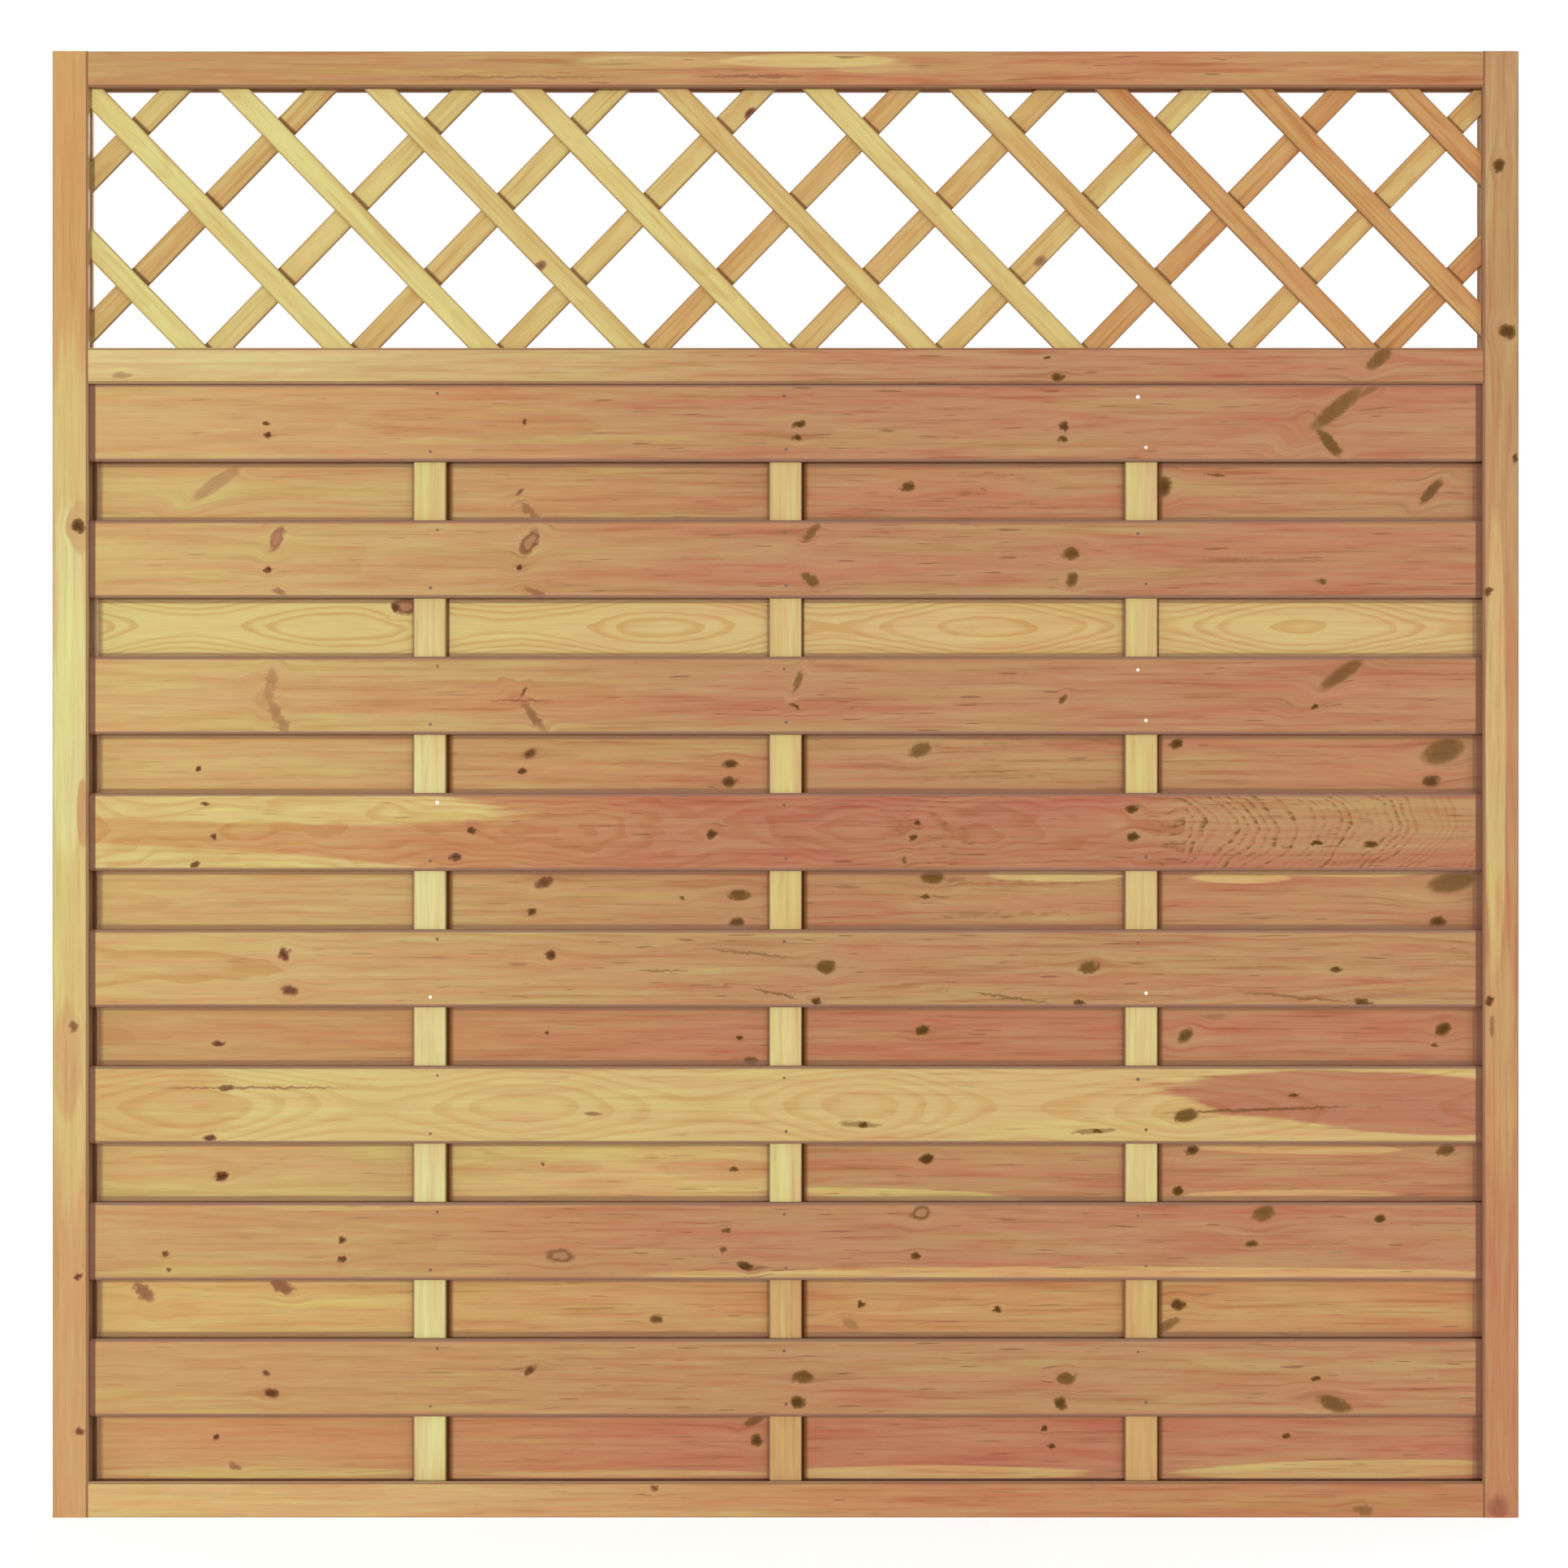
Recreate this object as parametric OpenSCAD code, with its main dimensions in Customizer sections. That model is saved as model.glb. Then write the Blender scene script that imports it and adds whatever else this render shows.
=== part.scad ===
// Slatted garden fence panel with a diamond lattice top, in millimetres.
// X runs along the panel from the left post face, Y from the front to the back, Z up.
// The origin is the centre of the left outer side face, where the panel meets its post.

/* [Panel] */
// Overall width, over the outer faces of both stiles
panel_w = 1800; // [1200:1:2400]
// Overall height
panel_h = 1800; // [1300:1:2100]

/* [Frame] */
// Face width of the stiles and rails
frame_w = 44; // [40:1:70]
// Depth of the stiles and rails, front to back
frame_d = 44; // [40:1:70]
// Radius of the eased long edges of the frame
frame_round = 3; // [1:0.5:5]
// Depth of the grooves that hold the slats and the lattice
groove_deep = 12; // [8:0.5:14]
// Room left at a groove's floor for the timber to swell
end_room = 2; // [0.5:0.5:4]
// Play on each side of what slides into a groove
groove_play = 0.2; // [0.1:0.05:0.5]

/* [Corner joints] */
// Thickness of a rail's tenon, front to back
tenon_t = 15; // [10:0.5:18]
// Height of a rail's tenon
tenon_h = 30; // [20:1:34]
// Length of a rail's tenon
tenon_len = 25; // [15:1:32]
// Play round a tenon in its mortise
tenon_play = 0.2; // [0.1:0.05:0.5]

/* [Slats] */
// Thickness of a slat
slat_t = 8; // [6:0.5:10]
// Height of a slat
slat_h = 96; // [90:0.5:145]
// Radius of the eased long edges of a slat
slat_round = 3; // [0.5:0.5:3]
// Number of slats on each side of the battens
slat_pairs = 8; // [6:1:12]
// How far the top front slat tucks up into the middle rail
top_tuck = 0.5; // [0:0.5:8]
// How far the bottom back slat dips into the bottom rail
bottom_tuck = 5; // [0:0.5:8]

/* [Battens] */
// Number of upright battens between the slats, with equal bays
batten_count = 3; // [1:1:5]
// Face width of a batten
batten_w = 40; // [25:1:60]
// Thickness of a batten
batten_t = 15; // [10:0.5:16]
// Radius of the eased long edges of a batten
batten_round = 1.5; // [0.5:0.5:3]

/* [Lattice] */
// Clear height of the lattice opening
lattice_h = 320; // [200:1:450]
// Face width of a lath
lath_w = 28.5; // [18:0.5:40]
// Thickness of a lath
lath_t = 8; // [5:0.5:10]
// Bevel along the long edges of a lath
lath_bevel = 1.2; // [0.5:0.1:2]
// How far the two layers of laths are pressed into each other at their crossings
lath_bite = 0.2; // [0.1:0.1:0.5]
// Width of one lattice mesh, from lath to lath of one layer along the rails
mesh_w = 180; // [120:0.5:240]
// Lean of the laths from the level
lath_lean = 45.9; // [40:0.1:50]
// How far the crossing nearest the middle stands to the right of the opening's centre
crossing_right = 4; // [0:0.5:40]
// How far that crossing stands above the opening's centre
crossing_up = 12; // [0:0.5:40]

/* [Hidden] */
$fn = 48;

// Clear opening between the stiles
inner_w = panel_w - 2 * frame_w;
panel_low = -panel_h / 2;
panel_high = panel_h / 2;

// Undersides of the three rails, and the two openings between them
bottom_rail_z = panel_low;
top_rail_z = panel_high - frame_w;
mid_rail_z = top_rail_z - lattice_h - frame_w;
slats_low = bottom_rail_z + frame_w;
slats_high = mid_rail_z;
lattice_low = mid_rail_z + frame_w;
lattice_high = top_rail_z;

// Groove widths: front slat, batten and back slat in one, two layers of laths in the other
slat_groove = 2 * slat_t + batten_t + 2 * groove_play;
lath_groove = 2 * lath_t - lath_bite + 2 * groove_play;

// How far a cut runs past the face that it opens
cut_past = 1;

// Ends of what slides into the stiles' grooves
held_from = frame_w - groove_deep + end_room;
held_to = panel_w - held_from;

// Slats: the front ones start at the top, and the back ones, half a pitch lower, end at the bottom
slat_run = slats_high + top_tuck - (slats_low - bottom_tuck) - slat_h;
slat_pitch = slat_run / (slat_pairs - 0.5);

// Battens: equal clear bays between the stiles
batten_pitch = (inner_w - batten_count * batten_w) / (batten_count + 1) + batten_w;

// Lattice: the box that its laths fill, and the crossing that the pattern is set out from
lattice_from_z = lattice_low - groove_deep;
lattice_to_z = lattice_high + groove_deep - end_room;
cross_x = panel_w / 2 + crossing_right;
cross_z = (lattice_low + lattice_high) / 2 + crossing_up;
lath_reach = (lattice_to_z - lattice_from_z) / tan(lath_lean);
lath_span = ceil((panel_w / 2 + lath_reach) / mesh_w);
lath_len = (lattice_to_z - lattice_from_z) / sin(lath_lean) * 2 + 4 * lath_w;

// Colours
frame_colour = [0.82, 0.65, 0.39];
slat_colour = [0.78, 0.58, 0.41];
back_colour = [0.80, 0.62, 0.42];
batten_colour = [0.86, 0.80, 0.55];
lath_colour = [0.84, 0.72, 0.48];

// A rectangle a by b, centred, with its four corners rounded to radius r
module eased_section(a, b, r) {
    square([a - 2 * r, b], center = true);
    square([a, b - 2 * r], center = true);
    for (x = [-1, 1], y = [-1, 1])
        translate([x * (a / 2 - r), y * (b / 2 - r)]) circle(r = r);
}

// A planed bar that stands on z = 0, a wide in X, b deep in Y
module upright_bar(a, b, len, r) {
    linear_extrude(len) eased_section(a, b, r);
}

// A planed bar that runs along X from x = 0, b deep in Y, a high in Z, centred on the axis
module level_bar(a, b, len, r) {
    rotate([0, 90, 0]) linear_extrude(len) eased_section(a, b, r);
}

// The mortise for the tenon of a rail whose underside is at rail_z, open towards +X at x = frame_w
module mortise(rail_z) {
    translate([frame_w - tenon_len - end_room, -tenon_t / 2 - tenon_play,
               rail_z + frame_w / 2 - tenon_h / 2 - tenon_play])
        cube([tenon_len + end_room + cut_past, tenon_t + 2 * tenon_play, tenon_h + 2 * tenon_play]);
}

// A groove in the stile's inner face, wide in Y, that runs past both rails by its own depth
module stile_groove(wide, from_z, to_z) {
    translate([frame_w - groove_deep, -wide / 2, from_z - groove_deep])
        cube([groove_deep + cut_past, wide, to_z - from_z + 2 * groove_deep]);
}

// The left stile: full height, with grooves for slats and lattice and three blind mortises
module stile() {
    difference() {
        translate([frame_w / 2, 0, panel_low]) upright_bar(frame_w, frame_d, panel_h, frame_round);
        stile_groove(slat_groove, slats_low, slats_high);
        stile_groove(lath_groove, lattice_low, lattice_high);
        mortise(bottom_rail_z);
        mortise(mid_rail_z);
        mortise(top_rail_z);
    }
}

module left_stile() {
    color(frame_colour) stile();
}

module right_stile() {
    color(frame_colour) translate([panel_w, 0, 0]) mirror([1, 0, 0]) stile();
}

// A rail between the stiles with a tenon at each end, its underside at z = 0
module plain_rail() {
    translate([frame_w, 0, frame_w / 2]) level_bar(frame_w, frame_d, inner_w, frame_round);
    translate([frame_w - tenon_len, -tenon_t / 2, frame_w / 2 - tenon_h / 2])
        cube([inner_w + 2 * tenon_len, tenon_t, tenon_h]);
}

// A groove along a rail between the stiles, in the underside (up = 0) or the top (up = 1)
module rail_groove(wide, up) {
    translate([frame_w, -wide / 2, up == 1 ? frame_w - groove_deep : -cut_past])
        cube([inner_w, wide, groove_deep + cut_past]);
}

module top_rail() {
    color(frame_colour) translate([0, 0, top_rail_z]) difference() {
        plain_rail();
        rail_groove(lath_groove, 0);
    }
}

module mid_rail() {
    color(frame_colour) translate([0, 0, mid_rail_z]) difference() {
        plain_rail();
        rail_groove(slat_groove, 0);
        rail_groove(lath_groove, 1);
    }
}

module bottom_rail() {
    color(frame_colour) translate([0, 0, bottom_rail_z]) difference() {
        plain_rail();
        rail_groove(slat_groove, 1);
    }
}

// Batten i, counted from the left, stands on the floor of the bottom rail's groove
module batten(i) {
    middle = frame_w + inner_w / 2 + (i - (batten_count + 1) / 2) * batten_pitch;
    from_z = slats_low - groove_deep;
    to_z = slats_high + groove_deep - end_room;
    color(batten_colour) translate([middle, 0, from_z])
        upright_bar(batten_w, batten_t, to_z - from_z, batten_round);
}

// A slat whose top edge is at top_z, on the front (side = -1) or the back (side = 1) of the battens
module slat(top_z, side) {
    translate([held_from, side * (batten_t + slat_t) / 2, top_z - slat_h / 2])
        level_bar(slat_h, slat_t, held_to - held_from, slat_round);
}

module front_slat(i) {
    color(slat_colour) slat(slats_high + top_tuck - (i - 1) * slat_pitch, -1);
}

// The back slats sit half a pitch lower, behind the gaps of the front slats
module back_slat(i) {
    color(back_colour) slat(slats_high + top_tuck - (i - 0.5) * slat_pitch, 1);
}

// A straight lath along X, lath_w high in Z, from y = 0 to y = lath_t, with bevelled long edges
module lath() {
    w = lath_w / 2;
    b = lath_bevel;
    translate([-lath_len / 2, 0, 0]) rotate([90, 0, 90]) linear_extrude(lath_len)
        polygon([[b, -w], [lath_t - b, -w], [lath_t, b - w], [lath_t, w - b],
                 [lath_t - b, w], [b, w], [0, w - b], [0, b - w]]);
}

// How far along X the centre line of lath i runs inside the lattice box; side is as in slat()
function lath_run(i, side) =
    let (x = cross_x + i * mesh_w,
         at_low = x + side * (lattice_from_z - cross_z) / tan(lath_lean),
         at_high = x + side * (lattice_to_z - cross_z) / tan(lath_lean))
    min(held_to, max(at_low, at_high)) - max(held_from, min(at_low, at_high));

// One layer of laths: they fall to the right on the front, and rise to the right on the back.
// A lath that would only clip a corner, without meeting the other layer, is left out.
module lath_layer(side) {
    for (i = [-lath_span : lath_span])
        if (lath_run(i, side) > mesh_w / 2)
            translate([cross_x + i * mesh_w, side == 1 ? -lath_bite / 2 : lath_bite / 2 - lath_t, cross_z])
                rotate([0, -side * lath_lean, 0]) lath();
}

module lattice() {
    color(lath_colour) intersection() {
        union() {
            lath_layer(-1);
            lath_layer(1);
        }
        translate([held_from, -lath_t, lattice_from_z])
            cube([held_to - held_from, 2 * lath_t, lattice_to_z - lattice_from_z]);
    }
}

left_stile();
right_stile();
top_rail();
mid_rail();
bottom_rail();
for (i = [1 : batten_count]) batten(i);
for (i = [1 : slat_pairs]) front_slat(i);
for (i = [1 : slat_pairs]) back_slat(i);
lattice();
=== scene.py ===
# %% [markdown]
# A slatted fence panel with a lattice top, dressed in Blender. The real panel is a grooved softwood frame
# that holds two layers of flat slats, one in front of three battens and one behind them, with a strip of
# crossed laths above. Every timber was planed, nailed up and then pressure treated, so the colour runs from
# straw to red brown and the knots stand out olive and dark.
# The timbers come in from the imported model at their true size. This lesson gives them their wood, lays the
# laths and drives the nails.

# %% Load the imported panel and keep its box
import math

import bpy
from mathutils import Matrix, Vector


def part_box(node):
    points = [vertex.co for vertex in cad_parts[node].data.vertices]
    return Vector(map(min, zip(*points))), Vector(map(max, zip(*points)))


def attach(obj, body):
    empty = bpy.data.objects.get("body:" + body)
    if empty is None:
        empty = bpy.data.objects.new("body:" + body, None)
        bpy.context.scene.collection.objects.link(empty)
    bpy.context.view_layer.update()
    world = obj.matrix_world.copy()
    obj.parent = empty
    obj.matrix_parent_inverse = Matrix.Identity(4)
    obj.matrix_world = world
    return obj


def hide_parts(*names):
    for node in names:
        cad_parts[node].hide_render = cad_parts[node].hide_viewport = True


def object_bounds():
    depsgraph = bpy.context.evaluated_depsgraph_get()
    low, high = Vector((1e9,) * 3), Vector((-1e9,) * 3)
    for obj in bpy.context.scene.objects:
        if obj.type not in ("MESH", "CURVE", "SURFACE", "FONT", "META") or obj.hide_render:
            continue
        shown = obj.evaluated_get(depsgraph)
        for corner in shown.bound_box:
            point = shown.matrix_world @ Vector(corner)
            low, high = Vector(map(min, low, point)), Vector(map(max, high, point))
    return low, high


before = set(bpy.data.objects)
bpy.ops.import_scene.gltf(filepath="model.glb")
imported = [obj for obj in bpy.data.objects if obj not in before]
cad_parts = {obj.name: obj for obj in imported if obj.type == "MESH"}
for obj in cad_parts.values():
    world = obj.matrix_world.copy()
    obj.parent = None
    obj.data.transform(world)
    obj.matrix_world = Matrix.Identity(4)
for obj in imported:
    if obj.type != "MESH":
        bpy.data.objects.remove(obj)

cad_low, cad_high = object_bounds()
MM = 0.001
print("panel box, mm:", [round(v / MM, 1) for v in (*cad_low, *cad_high)])

# %% [markdown]
# The photograph looks square on at the middle of the panel, from far enough away that the inner faces of the
# frame show only as thin strips. A camera without perspective would lose those strips, and one close by
# would make them too wide. A camera 4.8 m away with a long lens gives the same strips.

# %% Set up the camera
PHOTO_SIDE = 1932
PHOTO_PX_PER_MM = 1.004
PHOTO_LEFT_POST_PX = 64.3
PHOTO_MIDDLE_PX = 966.5
CAMERA_DISTANCE = 4.8
SENSOR_WIDTH = 36


def add_object(name, data):
    """Puts an object that shows this data in the scene."""
    made = bpy.data.objects.new(name, data)
    bpy.context.scene.collection.objects.link(made)
    return made


panel_middle = (cad_low + cad_high) / 2
view_width = PHOTO_SIDE / PHOTO_PX_PER_MM * MM
view_middle_x = (PHOTO_SIDE / 2 - PHOTO_LEFT_POST_PX) / PHOTO_PX_PER_MM * MM
view_middle_z = panel_middle.z + (PHOTO_MIDDLE_PX - PHOTO_SIDE / 2) / PHOTO_PX_PER_MM * MM

camera_data = bpy.data.cameras.new("photo_camera")
camera_data.sensor_width = SENSOR_WIDTH
camera_data.lens = SENSOR_WIDTH * CAMERA_DISTANCE / view_width
camera = add_object("photo_camera", camera_data)
camera.location = (view_middle_x, cad_low.y - CAMERA_DISTANCE, view_middle_z)
camera.rotation_euler = (math.radians(90), 0, 0)
bpy.context.scene.camera = camera
print("lens, mm:", round(camera_data.lens, 1))


# %% [markdown]
# Materials and Geometry Nodes are both made of small boxes that pass values on. They could be placed and
# joined by hand on the screen, but written down they can be read, repeated and changed in one place. The
# helpers here add such a box and fill its inputs, do a sum, and take a point apart or put it together.

# %% Helpers that add nodes and do sums
def srgb(red, green, blue):
    """A colour as a screen shows it, 0 to 255, turned into the linear values that nodes take."""
    def linear(part):
        part /= 255
        return part / 12.92 if part <= 0.04045 else ((part + 0.055) / 1.055) ** 2.4
    return (linear(red), linear(green), linear(blue), 1.0)


def add_node(tree, kind, wires=None, **settings):
    """Adds a node. wires names each input: a socket is linked to it, and anything else is its value."""
    made = tree.nodes.new(kind)
    for name, value in settings.items():
        setattr(made, name, value)
    for key, value in (wires or {}).items():
        if isinstance(value, bpy.types.NodeSocket):
            tree.links.new(value, made.inputs[key])
        else:
            made.inputs[key].default_value = value
    return made


def reckon(tree, operation, *values):
    """The result of one Math node on numbers or sockets."""
    wires = dict(enumerate(values))
    return add_node(tree, "ShaderNodeMath", wires, operation=operation).outputs[0]


def plus(tree, first, second):
    """The sum of two values."""
    return reckon(tree, "ADD", first, second)


def minus(tree, first, second):
    """The first value less the second."""
    return reckon(tree, "SUBTRACT", first, second)


def times(tree, first, second):
    """The product of two values."""
    return reckon(tree, "MULTIPLY", first, second)


def times_plus(tree, first, second, added):
    """The product of two values, with a third one added."""
    return reckon(tree, "MULTIPLY_ADD", first, second, added)


def parts_of(tree, point):
    """The X, Y and Z of a point."""
    return add_node(tree, "ShaderNodeSeparateXYZ", {0: point}).outputs


def point_of(tree, x=0.0, y=0.0, z=0.0):
    """A point made of its X, Y and Z."""
    return add_node(tree, "ShaderNodeCombineXYZ", {"X": x, "Y": y, "Z": z}).outputs[0]


def moved_by(tree, point, step):
    """A point moved by a step."""
    return add_node(tree, "ShaderNodeVectorMath", {0: point, 1: step}, operation="ADD").outputs[0]


# %% [markdown]
# Wood is all soft changes: one colour fades into another, and no pattern in it is even. These helpers step
# softly from one value to another, lay one colour over another, and make noise that is stretched along the
# grain. Hard steps would be quicker to write, but they would look printed.

# %% Helpers that fade, mix and make noise
def soft_step(tree, value, low, high, from_value=0.0, to_value=1.0):
    """Goes smoothly from from_value at low to to_value at high."""
    wires = {"Value": value, "From Min": low, "From Max": high, "To Min": from_value, "To Max": to_value}
    step = add_node(tree, "ShaderNodeMapRange", wires, interpolation_type="SMOOTHSTEP")
    return step.outputs[0]


def lay_over(tree, share, under, over, how="MIX"):
    """Lays one colour over another by a share from 0 to 1."""
    made = add_node(tree, "ShaderNodeMix", {0: share, 6: under, 7: over}, data_type="RGBA", blend_type=how)
    return made.outputs[2]


def soft_noise(tree, place, size, detail=2.0, roughness=0.5):
    """Noise from 0 to 1. size gives how long its blotches are along each axis, in metres."""
    stretch = tuple(1 / s for s in size)
    scaled = add_node(tree, "ShaderNodeVectorMath", {0: place, 1: stretch}, operation="MULTIPLY")
    wires = {"Vector": scaled.outputs[0], "Scale": 1.0, "Detail": detail, "Roughness": roughness}
    return add_node(tree, "ShaderNodeTexNoise", wires, noise_dimensions="3D").outputs[0]


# %% [markdown]
# A group is a small machine of nodes with named sockets. It is built once and used as often as it is needed,
# so a change in it reaches every board, and its sockets say in words what can be set.

# %% Helpers that make and use groups
def new_group(name, kind, inputs, outputs):
    """A node group with named sockets. Returns the tree, what comes in and what goes out."""
    tree = bpy.data.node_groups.new(name, kind)
    for label, socket, value in inputs:
        made = tree.interface.new_socket(label, in_out="INPUT", socket_type=socket)
        if value is not None:
            made.default_value = value
    for label, socket in outputs:
        tree.interface.new_socket(label, in_out="OUTPUT", socket_type=socket)
    return tree, tree.nodes.new("NodeGroupInput").outputs, tree.nodes.new("NodeGroupOutput").inputs


def use_group(tree, group, wires):
    """Places one instance of a node group and returns what it puts out."""
    return add_node(tree, "ShaderNodeGroup", wires, node_tree=group).outputs


FLOAT = "NodeSocketFloat"
WHOLE = "NodeSocketInt"
VECTOR = "NodeSocketVector"
GEOMETRY = "NodeSocketGeometry"
MATERIAL = "NodeSocketMaterial"


# %% [markdown]
# Sawn softwood shows where the saw met the growth rings of the log. A picture of wood could be wrapped round
# each board, but it would repeat, and the end grain would be wrong. So the first group holds a log and not a
# pattern: rings round a pith, a slow taper along the length, and a waver that keeps them from being exact.
# A flat-sawn slat then gets long lines at its edges and arches in its middle, and its end gets true end
# grain. Place runs along the grain in X, through the board in Y and across it in Z, in metres.

# %% Sizes of the wood's patterns
# Each gives how long its blotches are along, through and across a board, in metres
SLOW_WAVER = (0.3, 0.12, 0.12)
QUICK_WAVER = (0.045, 0.03, 0.018)
STREAKS = (0.16, 0.012, 0.005)
DRIFTS = (0.4, 0.06, 0.03)
MOTTLES = (0.11, 0.02, 0.0095)
SPLITS = (0.05, 0.02, 0.0034)
FIBRES = (0.03, 0.002, 0.0013)
DASHES = (0.014, 0.012, 0.005)
# How far each next log lies from the one before in the same noise, so that no two boards match
LOG_STEP = (2.7, 1.3, 0.9)
# Within a ring, from 0 to 1: where late wood begins and is full, and where it ends
LATE_BEGINS = (0.25, 0.86)
LATE_ENDS = (1.0, 0.92)
# Some years leave a weak ring. The lowest and the highest chance give how much of each is left.
YEAR_STRENGTH = (-0.2, 0.9)


# %% Helper that finds where a point lies in the rings
def ring_radius(tree, given, in_log, axes):
    """How far a point is from the pith, with the log's taper, waver, kinks, dip and swell."""
    deep = minus(tree, axes["Y"], given["Pith Depth"])
    high = minus(tree, axes["Z"], given["Pith Height"])
    radius = reckon(tree, "SQRT", plus(tree, times(tree, deep, deep), times(tree, high, high)))
    radius = times_plus(tree, axes["X"], given["Taper"], radius)
    for size, detail, amount in ((QUICK_WAVER, 1.0, given["Kink"]), (SLOW_WAVER, 2.0, given["Waver"])):
        noise = minus(tree, soft_noise(tree, in_log, size, detail), 0.5)
        radius = times_plus(tree, noise, times(tree, amount, 2.0), radius)
    into_dip = reckon(tree, "DIVIDE", minus(tree, axes["X"], given["Dip Start"]), given["Dip Length"])
    into_dip = add_node(tree, "ShaderNodeClamp", {0: into_dip}).outputs[0]
    radius = times_plus(tree, into_dip, given["Dip Depth"], radius)
    from_swell = minus(tree, axes["X"], given["Swell Middle"])
    into_swell = reckon(tree, "DIVIDE", from_swell, given["Swell Length"])
    swell = reckon(tree, "COSINE", times(tree, into_swell, 2 * math.pi))
    return minus(tree, radius, times(tree, swell, given["Swell Depth"]))


# %% Group: the rings and fibres of sawn softwood
def make_softwood():
    figures = ("Late Wood", "Streak", "Drift", "Mottle", "Fibre", "Fleck", "Split")
    tree, given, wanted = new_group(
        "Softwood Figure", "ShaderNodeTree",
        [("Place", VECTOR, None), ("Log Number", FLOAT, 1.0), ("Pith Depth", FLOAT, 0.06),
         ("Pith Height", FLOAT, 0.0), ("Taper", FLOAT, 0.012), ("Ring Width", FLOAT, 0.005),
         ("Waver", FLOAT, 0.008), ("Kink", FLOAT, 0.0012), ("Dip Start", FLOAT, 10.0),
         ("Dip Length", FLOAT, 1.0), ("Dip Depth", FLOAT, 0.0), ("Swell Middle", FLOAT, 0.0),
         ("Swell Length", FLOAT, 1.0), ("Swell Depth", FLOAT, 0.0)],
        [(label, FLOAT) for label in figures],
    )
    own_part = point_of(tree, *(times(tree, given["Log Number"], step) for step in LOG_STEP))
    in_log = moved_by(tree, given["Place"], own_part)
    radius = ring_radius(tree, given, in_log, parts_of(tree, given["Place"]))
    turn = reckon(tree, "DIVIDE", radius, given["Ring Width"])
    share = reckon(tree, "FRACT", turn)
    ring = {"W": reckon(tree, "FLOOR", turn)}
    year = add_node(tree, "ShaderNodeTexWhiteNoise", ring, noise_dimensions="1D").outputs[0]
    late = times(tree, soft_step(tree, share, *LATE_BEGINS), soft_step(tree, share, *LATE_ENDS))
    late = times(tree, late, soft_step(tree, year, *YEAR_STRENGTH))
    dash = soft_step(tree, soft_noise(tree, in_log, DASHES), 0.47, 0.62)
    for label, socket in {
        "Late Wood": late,
        "Streak": soft_noise(tree, in_log, STREAKS, 2.0, 0.6),
        "Drift": soft_noise(tree, in_log, DRIFTS, 1.0),
        "Mottle": soft_noise(tree, in_log, MOTTLES, 2.0, 0.6),
        "Fibre": soft_noise(tree, in_log, FIBRES, 1.0, 0.6),
        "Fleck": times(tree, dash, late),
        "Split": soft_step(tree, soft_noise(tree, in_log, SPLITS, 1.0, 0.4), 0.68, 0.76),
    }.items():
        tree.links.new(socket, wanted[label])
    return tree


softwood = make_softwood()
print("softwood nodes:", len(softwood.nodes))


# %% [markdown]
# A knot is a branch that the saw cut across. It is dark itself, darkest at its heart, and the grain bends
# round it. Knots could be modelled as plugs, but a shape in the finish costs no faces and can bend the rings
# too. One group does this for one knot, and knots are put in a row, each passing on what the ones before it
# made. A branch that was cut lengthways is the same group, drawn long and thin and turned. A patch of paler
# sapwood or redder heartwood is the same again, only larger.

# %% Group: one knot
# Distances are in the knot's own half sizes, from its middle
CORE_FADES = (1.25, 0.75)
DARK_FADES = (1.1, 0.3)
GRAIN_BENDS_FROM = 3.6
GRAIN_IS_PUSHED = -0.75


def make_knot():
    tree, given, wanted = new_group(
        "Knot", "ShaderNodeTree",
        [("Place", VECTOR, None), ("Height", FLOAT, 0.0), ("Core So Far", FLOAT, 0.0),
         ("Dark So Far", FLOAT, 0.0), ("Push So Far", FLOAT, 0.0), ("Middle", VECTOR, None),
         ("Middle Height", FLOAT, 0.0), ("Half Size", VECTOR, None), ("Turn", VECTOR, None),
         ("Strength", FLOAT, 1.0), ("Darkness", FLOAT, 1.0)],
        [("Core", FLOAT), ("Dark", FLOAT), ("Push", FLOAT)],
    )
    near = add_node(tree, "ShaderNodeMapping", {
        "Vector": given["Place"], "Location": given["Middle"],
        "Rotation": given["Turn"], "Scale": given["Half Size"],
    }, vector_type="TEXTURE").outputs[0]
    far = add_node(tree, "ShaderNodeVectorMath", {0: near}, operation="LENGTH").outputs["Value"]
    core = soft_step(tree, far, *CORE_FADES, 0.0, given["Strength"])
    dark = soft_step(tree, far, *DARK_FADES, 0.0, given["Darkness"])
    squeeze = soft_step(tree, far, GRAIN_BENDS_FROM, 0.0, 0.0, GRAIN_IS_PUSHED)
    away = minus(tree, given["Height"], given["Middle Height"])
    push = times_plus(tree, away, squeeze, given["Push So Far"])
    tree.links.new(reckon(tree, "MAXIMUM", core, given["Core So Far"]), wanted["Core"])
    tree.links.new(reckon(tree, "MAXIMUM", dark, given["Dark So Far"]), wanted["Dark"])
    tree.links.new(push, wanted["Push"])
    return tree


knot = make_knot()
print("knot nodes:", len(knot.nodes))


# %% [markdown]
# The rounded arrises, where two faces meet, show as thin brown lines: painted shade of the edge that
# turns away from the light, along with the treatment that soaks in deepest there. Where one timber laps
# another or stands against it, a thin brown line is painted shadow cast by the timber in front. They could
# be strips of their own, but they have no thickness, so they belong to the finish. This group draws them
# from distances alone: how far a point is from the board's middle, and how far out the line starts.

# %% Group: a brown line towards an edge
def make_edge_line():
    tree, given, wanted = new_group(
        "Edge Line", "ShaderNodeTree",
        [("Distance", FLOAT, 0.0), ("Starts At", FLOAT, 0.04), ("Softness", FLOAT, 0.002)],
        [("Line", FLOAT)],
    )
    full_at = plus(tree, given["Starts At"], given["Softness"])
    tree.links.new(soft_step(tree, given["Distance"], given["Starts At"], full_at), wanted["Line"])
    return tree


edge_line = make_edge_line()
print("edge line nodes:", len(edge_line.nodes))


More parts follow.
